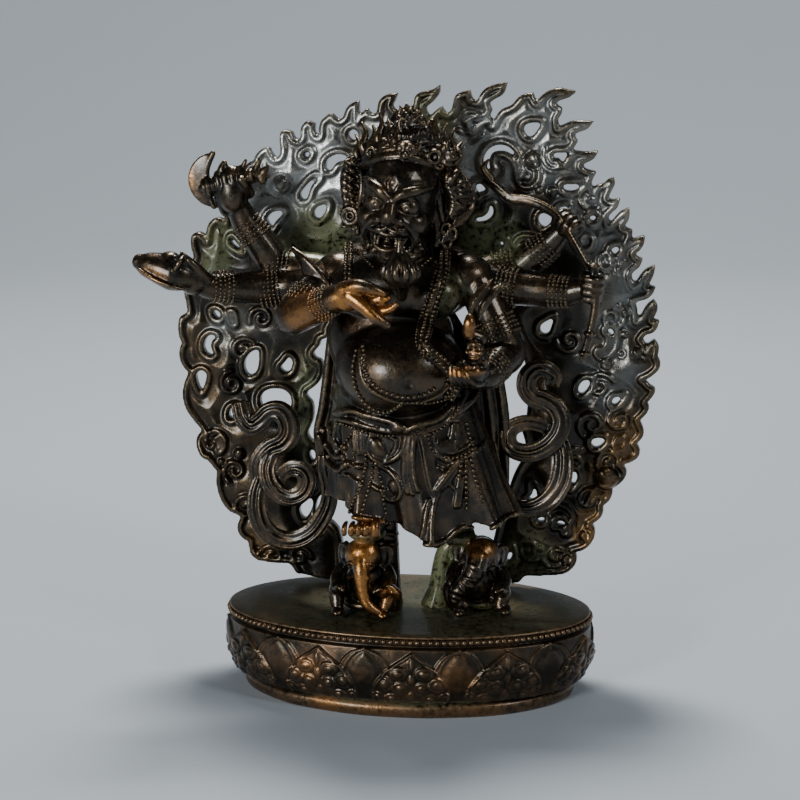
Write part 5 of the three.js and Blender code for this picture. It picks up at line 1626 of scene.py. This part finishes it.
def feet_and_attendants():
    clay = bmesh.new()
    place_left = Vector((-12.6, -10, 18.6))
    place_right = Vector((23.6, -3.4, 18.4))
    left_trunk = drawn(
        (361, 558, -14.6), (361, 570, -16.8), (362, 584, -17.6), (364.5, 598, -18), (369, 606, -18.4),
        (378, 612.5, -18.4),
    )
    attendant(clay, place_left, turned(-4, "Z"), 1.0, left_trunk, False)
    right_trunk = drawn(
        (478, 558, -8.6), (475, 570, -11), (468, 581, -12), (459, 590, -12), (457, 600, -11.6),
        (464, 605, -11.6),
    )
    attendant(clay, place_right, turned(14, "Z") @ turned(8, "Y"), 1.0, right_trunk, True)
    # The sweet in the first one's raised hand.
    ball(clay, seen(391, 589, -17.4), (1.8, 1.8, 1.7))
    for k in range(3):
        bar(
            clay,
            drawn(
                (399, 597 - k * 2, -16.6), (397 - k * 2, 593 - k * 2.4, -18),
                (392 - k * 2, 592 - k * 3, -18.8),
            ),
            [1.1, 1, 0.7], sides=8, step=0.6,
        )
    # The first foot on a pad of hair, and the second, turned away under the hem.
    ball(clay, (-11.6, -11.4, 26.4), (6.2, 6.4, 2.8))
    foot(
        clay, (-8.6, -8, 30), (-10.4, -13, 30.2),
        [
            ((-17.6, -18, 29), 0.88), ((-15.3, -18.8, 29.3), 0.9), ((-13, -19.2, 29.5), 0.95),
            ((-10.6, -19.2, 29.8), 1.0), ((-7.7, -18.8, 30.3), 1.5),
        ],
    )
    ball(clay, (18, -2.6, 23), (4.6, 4.4, 2.4))
    foot(
        clay, (16.8, -0.6, 26), (16.8, -3.6, 25.4),
        [
            ((14, -6, 24.4), 1.1), ((15.7, -6.6, 24.3), 0.9), ((17.2, -6.8, 24.2), 0.85),
            ((18.6, -6.6, 24.1), 0.8), ((19.9, -6.2, 24), 0.75),
        ],
    )
    for middle, face, r in (
        ((-7.4, -5.6, 25), (0.1, 0.2, 1), 4.6), ((-7.2, -5.4, 21.6), (0.1, 0.2, 1), 4.4),
        ((16.4, -1, 28), (-0.1, 0, 1), 4.4),
    ):
        ring(clay, middle, r, 0.7, face, 22)
    bar(
        clay, [(-7, -5.2, 32), (-6.6, -5, 26), (-6, -5, 18), (-5.8, -4.8, 8), (-5.4, -4.8, 1.4)],
        [4.2, 4.0, 3.8, 3.9, 4.4],
    )
    # The strut under the skirt, arched at its top and spreading on the plinth, with a thin stay beside it.
    bar(
        clay, drawn((464, 533, 1), (456, 540, 1), (446, 550, 1), (441, 566, 1), (439, 585, 1), (435, 605, 1)),
        [2.2, 2.6, 2.9, 2.9, 3.3, 4.8], 0.8,
    )
    bar(
        clay, drawn((452, 563, -3), (451, 549, -3), (457, 541, -3.4), (466, 546, -4)), [1.2, 1.2, 1.3, 1.4],
        sides=10,
    )
    ball(clay, seen(456, 553, 2), (4.4, 3, 5))
    return fused(clay, 0.34, 1, most_triangles["feet"])


# The six arms

rings_of_beads = []


def arm(clay, shoulder, elbow, wrist, palm, thick=6.0, band=0.66):
    """A full round arm, hardly narrowed, with rows of beads above its elbow and at its wrist."""
    s, e, w, p = (np.array(v, float) for v in (shoulder, elbow, wrist, palm))
    points = [
        s, s + (e - s) * 0.4, s + (e - s) * 0.75, e, e + (w - e) * 0.4, e + (w - e) * 0.75, w,
        w + (p - w) * 0.5, p,
    ]
    bar(clay, points, [thick * k for k in (0.98, 1.0, 1.0, 0.92, 0.9, 0.82, 0.74, 0.66, 0.56)], sides=20)
    for k in range(5):
        rings_of_beads.append((w - unit(w - e) * (k * 1.35 + 0.2), thick * (0.75 + 0.02 * k), w - e))
        rings_of_beads.append(
            (s + (e - s) * band + unit(e - s) * (k - 2) * 1.4, thick * (0.98 if band > 0.9 else 1.02), e - s)
        )


def fist(clay, palm, handle, across, size=1.15, tall=1.0):
    """A hand closed round a handle: four fingers curled over it and the thumb across them."""
    palm = np.array(palm, float)
    h = unit(np.array(handle, float))
    f = np.array(across, float)
    f = unit(f - h * np.dot(f, h))
    u = np.cross(h, f)
    turn = Matrix((f, u, h)).transposed()
    ball(clay, palm - u * 0.6 * size, (3.9 * size * tall, 2.9 * size, 4.5 * size), turn)
    for k in range(4):
        middle = palm + h * (k - 1.5) * 2.1 * size
        points = [
            middle + (f * cos(t) * tall + u * sin(t)) * (2.6 + 0.25 * (k in (1, 2))) * size
            for t in (-2.0, -1.0, 0.1, 1.2, 2.1, 3.0)
        ]
        bar(clay, points, [r * size for r in (1.3, 1.42, 1.36, 1.36, 1.25, 1.0)], sides=12, step=0.6)
    points = [
        palm + (f * x * tall + h * z + u * y) * size
        for x, z, y in ((-2.6, 2.8, -1.2), (-2, 4, 1.4), (0.4, 4.2, 2.8), (1.8, 3.6, 3.2))
    ]
    bar(clay, points, [1.7 * size, 1.6 * size, 1.4 * size, 1.1 * size], sides=12)


def crescent(clay, middle, radius, start, end, thick, inner=0.3):
    """A crescent blade that stands in the plane across the view, thin at its edge and thicker at its back."""
    for share in np.linspace(inner, 1, 9):
        points = []
        for t in np.radians(np.linspace(start, end, 11)):
            w = sin((degrees(t) - start) / (end - start) * pi)
            r = radius * (1 - (1 - share) * w**0.6)
            points.append((middle[0] + r * cos(t), middle[1], middle[2] + r * sin(t)))
        wire(clay, points, thick * (1.2 - 0.7 * (share - inner) / (1 - inner)))


def arms():
    clay = bmesh.new()
    dents = []
    # The lower pair, before the heart: a wish-giving jewel in the right hand and a skull cup in the left.
    arm(clay, (-25, -2, 106), (-34.2, -14, 94.6), (-19.4, -25.2, 102.2), (-13, -28, 105))
    ball(clay, (-14.2, -28, 103.6), (4.6, 3, 4.4), turned(-15, "Y"))
    bar(
        clay, [(-15.6, -28.4, 105.6), (-11, -30.2, 107.2), (-6.4, -30.8, 106.4), (-3.4, -30.4, 105.2)],
        [2.8, 2.3, 1.9, 1.2], sides=14,
    )
    bar(
        clay, [(-13.4, -29.4, 104.2), (-9, -31, 101.2), (-5.2, -31.6, 98), (-2, -31, 95.8)],
        [2.8, 2.2, 1.9, 1.3], sides=14,
    )
    bar(
        clay, [(-10.6, -28.4, 101.8), (-5, -28.6, 99.8), (-1.8, -29.4, 100.2), (0.6, -30.2, 102)],
        [1.8, 1.6, 1.4, 1.0], sides=12,
    )
    bar(clay, [(-11, -27.6, 103.6), (-6, -27.8, 102.6), (-2.4, -28.2, 103.4)], [1.8, 1.6, 1.2], sides=12)
    ball(clay, (-4.6, -27.8, 102.8), (2.4, 1.8, 2.2))
    bar(clay, [(1, -23, 103.6), (1.2, -25, 106.4), (1.4, -27, 110)], [2, 2.6, 4.2], sides=16)
    ball(clay, (1.6, -28.6, 112), (5, 4.5, 5.2))
    bar(clay, [(1.6, -28.6, 114.4), (1.5, -29.4, 118.4), (1.4, -30, 121.6)], [2.8, 1.4, 0.2])
    for k in range(11):
        t = k / 11 * tau
        x, y = 5 * cos(t), 4.5 * sin(t)
        bar(
            clay,
            [
                (1.6 + x * 0.5, -28 + y * 0.5, 107.4), (1.6 + x * 1.04, -28.6 + y * 1.04, 111.6),
                (1.5 + x * 0.4, -29 + y * 0.4, 116.8),
            ],
            [0.9, 1.15, 0.5], sides=10, step=0.7,
        )
    arm(clay, (21.4, -2, 105), (31.6, -5.5, 84), (26.6, -17, 79), (23.4, -21, 78.6), 6.3)
    ball(clay, (23, -22, 78.4), (4.6, 3.6, 2.6))
    for k in range(4):
        bar(
            clay,
            [
                (25.6 - k * 1.9, -24.4, 77.6), (24 - k * 1.9, -27.4, 78), (21.6 - k * 1.5, -28.8, 80),
                (20.4 - k * 1.2, -28.6, 82 + k * 0.4),
            ],
            [1.25, 1.2, 1.1, 0.9], sides=10, step=0.6,
        )
    # The cup: the top of a skull, with a heart and swirling offerings heaped in it.
    bar(clay, [(22.4, -24, 77.8), (22.4, -24, 79.6), (22.4, -24, 81.4)], [3.2, 4.5, 5], sides=18, cap=0.5)
    ring(clay, (22.4, -24, 81.8), 4.6, 0.6, (0, 0, 1), 24)
    skull(clay, (23.6, -25, 87.4), 3.1, (-0.2, -1, 0.2), (0.05, 0.1, 1), dents)
    ball(clay, (24, -23, 85), (3.4, 3, 3.4))
    for t in np.linspace(0.3, 5.9, 9):
        dot(clay, (22.4 + 3.6 * cos(t), -24 + 3.6 * sin(t), 83), 1.25)
    for k in range(3):
        dot(clay, (26.6, -25 + k, 84 - k * 1.6), 1.2)
    bar(clay, [(24.6, -22, 91), (21.6, -23.6, 93), (21.8, -24, 97.4)], [2.4, 2, 1.4], sides=12)
    ball(clay, (21.8, -24.6, 95.4), (1.9, 1.6, 2.8))
    # The leaf-shaped ends of the shawl above them.
    for x, z in ((21.4, 97.6), (24.2, 96.4)):
        bar(
            clay,
            [(x, -20.6, z), (x + 1.4, -21.4, z + 4.4), (x + 4.6, -19.6, z + 8.6), (x + 6.6, -18, z + 10.8)],
            [0.6, 1.5, 1.5, 0.3], 0.5,
        )
        bar(
            clay,
            [(x, -21.2, z), (x + 1.4, -22.2, z + 4.4), (x + 4.6, -20.4, z + 8.6), (x + 6.4, -18.6, z + 10.6)],
            0.35, sides=6,
        )

    # The middle pair: the drum on the right, the trident on the left.
    arm(clay, (-24, 2, 104), (-43, 0, 101.6), (-60.4, -7.2, 102.6), (-66.4, -10.2, 104.6), 6.0, 1.04)
    ball(clay, (-66, -10, 104.8), (5.2, 4.4, 4.6))
    bar(
        clay,
        [
            (-82.6, -12.5, 110.8), (-80.4, -12.5, 110), (-76, -12.5, 108.8), (-72, -12.5, 107.4),
            (-69, -12.4, 106.6), (-66, -11.4, 105.6),
        ],
        [2.6, 3.9, 5.1, 5.6, 4.9, 3.6], 0.9, sides=22,
    )
    ball(clay, (-73, -12.4, 112), (3.4, 3, 2.2))
    wire(
        clay, [(-82, -16.2, 109), (-77, -17.6, 106.2), (-71, -17.8, 104), (-66.6, -15.6, 102.6)],
        [0.4, 0.7, 0.7, 0.4],
    )
    for k in range(2):
        x, z = -61.6 - k * 2.6, 105.4 + k * 0.8
        bar(
            clay,
            [
                (x, -10.4, z), (x - 2.2, -13, z + 3.4), (x - 4.6, -14.4, z + 6.2),
                (x - 7.2, -14, z + 8.8 - k * 3),
            ],
            [1.9, 1.6, 1.25, 0.5], sides=12,
        )
    bar(clay, [(-70, -17, 109.4), (-68.6, -16.8, 111.6), (-68, -14, 113)], [0.9, 1, 0.8], sides=8, step=0.6)
    arm(clay, (21.4, 2, 105), (36, 0, 103), (50, -2, 102.4), (55.6, -3.8, 104))
    fist(clay, (57, -4.6, 104.4), (0.1, -0.15, 1), (1, -0.3, 0), 1.0)
    bar(
        clay,
        [(57.6, -6.4, 111), (58.4, -6.8, 100.7), (57.6, -6.8, 94), (56.2, -6.6, 88), (54.6, -6.4, 82.6)],
        [1.5, 1.4, 1.4, 1.4, 1.1],
    )
    for middle in ((57.7, -6.4, 111.4), (56.8, -6.6, 90.4), (55.2, -6.4, 84.4)):
        ring(clay, middle, 1.6, 0.6, (0.1, 0, 1), 12, 6)

    # The upper pair: the curved knife on the right, the noose on the left.
    arm(clay, (-24, 4, 106), (-41.5, 3, 107.4), (-51.8, 1, 122), (-54.6, -0.4, 129), 6.0, 1.0)
    fist(clay, (-55.2, -0.6, 134), (1, 0, 0.22), (0, -0.5, 1), 1.12, 1.5)
    bar(clay, [(-57.6, 0, 126), (-58.6, -2, 130), (-58.4, -3.4, 134)], [2.4, 2.2, 1.6])
    bar(clay, [(-64, -3, 132.8), (-55.6, -3, 135.2), (-47, -3, 137.8)], [1.4, 1.6, 1.4])
    for x, r in ((-48.6, 1.9), (-50, 1.7), (-60.8, 2), (-62.2, 2.5), (-63.6, 1.9)):
        ring(clay, (x, -3, 135.1 + (x + 55.6) * 0.27), r, 0.7, (1, 0, 0.26), 14, 6)
    ball(clay, (-62, -3, 133.4), (1.6, 2, 3.4))
    for x, z, tip in ((-52, 138.4, 142), (-47.6, 138.6, 142.4), (-45, 138, 140.2), (-44.6, 137, 136.6)):
        bar(
            clay, [(x - 1, -3, z - 1.4), (x + 0.2, -3, z + 0.4), (x + 1.6, -3, tip)], [1.7, 1.4, 0.5], 0.7,
            sides=10,
        )
    ball(clay, (-55.2, -2.6, 131.4), (4.5, 3.4, 6.4), turned(-8, "Y"))
    bar(clay, [(-58.6, -2.6, 136), (-58, -2.8, 139), (-57.4, -2.8, 140.8)], [1.8, 1.6, 1.0], sides=10)
    crescent(clay, (-60.6, -2, 135.4), 8.3, 94, 266, 0.8)
    arm(clay, (20, 4, 106), (34, 6, 108.6), (43.6, 5, 116.6), (47.6, 3.6, 121))
    fist(clay, (49, 2.6, 122.6), (-0.75, 0.5, 0.5), (0.3, -0.4, 1), 1.0)
    rope = [
        (22.8, 9, 135.4), (26.6, 8, 133.2), (31, 7, 130), (35.9, 6, 129.6), (41.2, 4.4, 128),
        (45.9, 2, 125.4), (49, 0, 121.4), (52.2, -2, 116.5), (56, -4, 110.3),
    ]
    bar(clay, rope, [1.2, 1.6, 1.9, 1.8, 1.6, 1.5, 1.5, 1.5, 1.4])
    wire(clay, [(x, y - 1.2, z + 1.2) for x, y, z in rope], 0.6)
    bar(clay, [(24.6, 8, 136), (22.4, 8, 139.4), (24, 8, 142)], [1.5, 1.2, 0.4])
    # The shawl's corner over the right shoulder.
    for k in range(5):
        marks = [
            (292 + 2 * k, 248 + 3 * k, -5), (304 + k, 258 + 5 * k, -7.6), (316, 270 + 4.5 * k, -9),
            (328 - k, 284 + 3 * k, -10),
        ]
        wire(clay, drawn(*marks), [0.7, 1.2, 1.2, 0.6], 0.7)
    mesh = fused(clay, 0.34, 2, before_dents)
    press(mesh, dents)
    return thinned(mesh, most_triangles["arms"])


# The scarves

# Each ribbon's half widths, and the places of its middle in the picture with their depth.
scarf_lines = [
    ([2.6, 2.9, 2.9, 3.3, 3.4, 2.9, 2.7], [(240, 403, 7), (243, 417, 6.4), (251, 426, 6), (260, 421, 6),
        (269, 412, 6), (280, 411, 6), (288, 420, 6), (289, 433, 6), (282, 443, 6), (270, 448, 5.8),
        (261, 457, 5.6), (258, 469, 5.6), (261, 483, 6)]),
    ([2.3, 2.7, 2.7, 2.6, 1.9], [(272, 455, 5.4), (267, 468, 4.6), (270, 483, 4), (279, 493, 3.8),
        (291, 497, 3.6), (302, 492, 3.6), (307, 481, 3.6), (303, 471, 3.6), (293, 468, 4), (284, 473, 4.6),
        (279, 482, 5.4)]),
    ([2.7, 3.1, 3, 2.9, 2.6, 2.2, 1.6], [(263, 479, 5.6), (258, 494, 4.6), (258, 512, 4), (265, 529, 4),
        (279, 539, 4), (295, 540, 4), (311, 532, 4), (322, 518, 4), (329, 502, 4), (329, 486, 3.6),
        (325, 470, 3), (324, 456, 3)]),
    ([1.6, 2.6, 3, 3, 2.9, 2.7, 2.4, 2.2, 1.8], [(553, 385, 9), (555, 376, 8.4), (548, 370, 7.4),
        (537, 368, 6.6), (528, 376, 6), (527, 388, 6), (534, 397, 6), (546, 401, 5.8), (556, 408, 5.4),
        (561, 420, 5), (558, 433, 4.6), (548, 445, 4.4), (534, 452, 4.2), (520, 452, 4.2), (510, 446, 4.2),
        (508, 435, 4.4), (513, 427, 4.8), (523, 423, 5), (534, 423, 5.2), (545, 427, 5.8), (552, 434, 6.6)]),
    ([2.5, 3.1, 3.4, 3.2, 2.6, 2.2, 2.2, 1.9, 1.7], [(553, 430, 8), (560, 446, 6), (562, 464, 4.8),
        (559, 483, 4.2), (549, 499, 4), (533, 508, 4), (516, 507, 4), (503, 495, 4), (497, 478, 4),
        (493, 460, 3.6), (490, 444, 3)]),
]


def scarves():
    clay = bmesh.new()
    for radii, marks in scarf_lines:
        points = drawn(*marks)
        flat_out = ripples(2.6, 0.15, 0.4)
        bar(clay, points, radii, 0.36, (0.05, -1, 0.1), 56, 0.7, section=flat_out)
        line, index = smooth(points, gap=0.9)
        _, across, out = frames(line, (0.05, -1, 0.1))
        r = np.interp(index, np.linspace(0, len(points) - 1, len(radii)), radii)
        for s in both:
            bar(clay, line + across * (s * r * 0.95)[:, None] + out * 0.3, 0.52, 1, None, 8, 1.0)
    return fused(clay, 0.3, 1, most_triangles["scarves"])


def figure():
    head_mesh = head()
    body_mesh, beads = body()
    low = feet_and_attendants()
    reach = arms()
    cloth = scarves()
    rubbed = [
        ((-27, -20, 98), (10, 11, 8), 0.7), ((-9, -30, 101.4), (11, 5, 6.2), 1.0),
        ((-13, -29, 105), (6, 5, 4.6), 1.0), ((-11.4, -19, 30), (8, 4, 4), 0.95),
        ((-12.6, -17, 21), (6, 7, 5), 1.0), ((-11.8, -18, 11), (3.6, 6, 10), 1.0),
        ((-8, -19, 3), (4, 5, 3), 0.9), ((-3.4, -17, 8), (4, 4, 4.4), 0.85),
        ((-17, -18, 20), (2.4, 6, 3), 0.5), ((23.4, -8, 21.5), (5.4, 6, 4), 0.62),
        ((-78, -15, 106), (6, 6, 4), 0.45), ((-69.4, -1.6, 136), (2.2, 4, 10), 0.4),
        ((21, -28, 81.8), (7, 6, 1.5), 0.6), ((23, -29, 86.5), (4, 4, 5), 0.35),
        ((21.8, -25, 95), (3, 4, 4), 0.6),
    ]
    green = [
        ((-30, 6, 112), (14, 8, 8), 0.9), ((28, 8, 110), (16, 8, 8), 0.9), ((12, 1, 11), (9, 8, 14), 1.0),
        ((14, -3, 0), (20, 8, 4), 1.0), ((-18, -4, 8), (5, 8, 9), 0.6), ((-12, -13, 25.5), (8, 8, 2.4), 0.7),
        ((18, -4, 24), (5, 5, 4), 0.7), ((15, -8, 99), (5, 12, 12), 0.35), ((-20, -6, 66), (6, 9, 9), 0.3),
    ]
    for name, mesh in (
        ("head_and_crown", head_mesh), ("body_and_skirt", body_mesh), ("feet_and_attendants", low),
        ("six_arms", reach), ("scarves", cloth),
    ):
        weather(mesh, rubbed, green)
        mesh.transform(Matrix.Translation((0, 0, LIFT)))
        shown(name, mesh, figure_bronze, "figure")
    for middle, radius, face in rings_of_beads:
        bead_ring(beads, middle, radius, face)
    mesh = kept(beads)
    weather(mesh, rubbed, green)
    note_all(mesh, "edge", 0.65)
    mesh.transform(Matrix.Translation((0, 0, LIFT)))
    shown("strings_of_beads", mesh, figure_bronze)


aureole()
plinth()
figure()


# Stage, light and camera

def cove():
    """A pale floor that curves up to a wall all round."""
    bm = bmesh.new()
    line = [bm.verts.new((x, 0, 0)) for x in (0.001, 0.3, 0.6, 1.0)]
    line += [bm.verts.new((1.0 + 0.9 * sin(t), 0, 0.9 - 0.9 * cos(t))) for t in np.linspace(0.15, 1.35, 9)]
    links = [bm.edges.new(pair) for pair in zip(line, line[1:])]
    bmesh.ops.spin(
        bm, geom=[*line, *links], axis=(0, 0, 1), cent=(0, 0, 0), angle=tau, steps=96, use_merge=True,
    )
    bmesh.ops.remove_doubles(bm, verts=bm.verts, dist=0.0001)
    bmesh.ops.recalc_face_normals(bm, faces=bm.faces)
    mesh = kept(bm)
    mesh.materials.append(pale_board)
    mesh.shade_smooth()
    floor = bpy.data.objects.new("pale_floor", mesh)
    link(floor)


def lamp(name, place, size, power, colour=(1, 1, 1), aim=(0, 0, 0.09)):
    light = bpy.data.lights.new(name, "AREA")
    light.shape = "RECTANGLE"
    light.size, light.size_y = size
    light.energy = power
    light.color = colour
    holder = bpy.data.objects.new(name, light)
    link(holder)
    holder.location = place
    holder.rotation_euler = (Vector(aim) - Vector(place)).to_track_quat("-Z", "Y").to_euler()


def camera():
    data = bpy.data.cameras.new("camera")
    data.sensor_width = 36
    data.lens = 36 * camera_focal / picture_size
    data.shift_x = -(picture_middle[0] - picture_size / 2) / picture_size
    data.shift_y = (picture_middle[1] - picture_size / 2) / picture_size
    data.clip_start = 0.01
    holder = bpy.data.objects.new("camera", data)
    link(holder)
    looking = Matrix((view_right, view_up, view_back)).transposed().to_4x4()
    holder.matrix_world = Matrix.Translation(eye * MM) @ looking
    bpy.context.scene.camera = holder


cove()
lamp("window", (-0.62, -1.16, 0.36), (0.28, 0.38), 11.5, (0.95, 0.98, 1.0))
lamp("second_window", (0.9, -0.6, 0.75), (0.2, 0.26), 3.2, (0.93, 0.97, 1.0))
lamp("ceiling", (-0.06, 0.4, 1.05), (0.3, 0.24), 13, (1.0, 0.99, 0.96))
lamp("wall_wash", (0, 0.95, 1.25), (1.4, 0.3), 8.6, aim=(0, 1.85, 0.15))
world = bpy.data.worlds.new("room")
bpy.context.scene.world = world
world.use_nodes = True
world.node_tree.nodes["Background"].inputs["Color"].default_value = linear("#d0d1cf")
world.node_tree.nodes["Background"].inputs["Strength"].default_value = 0.08
camera()
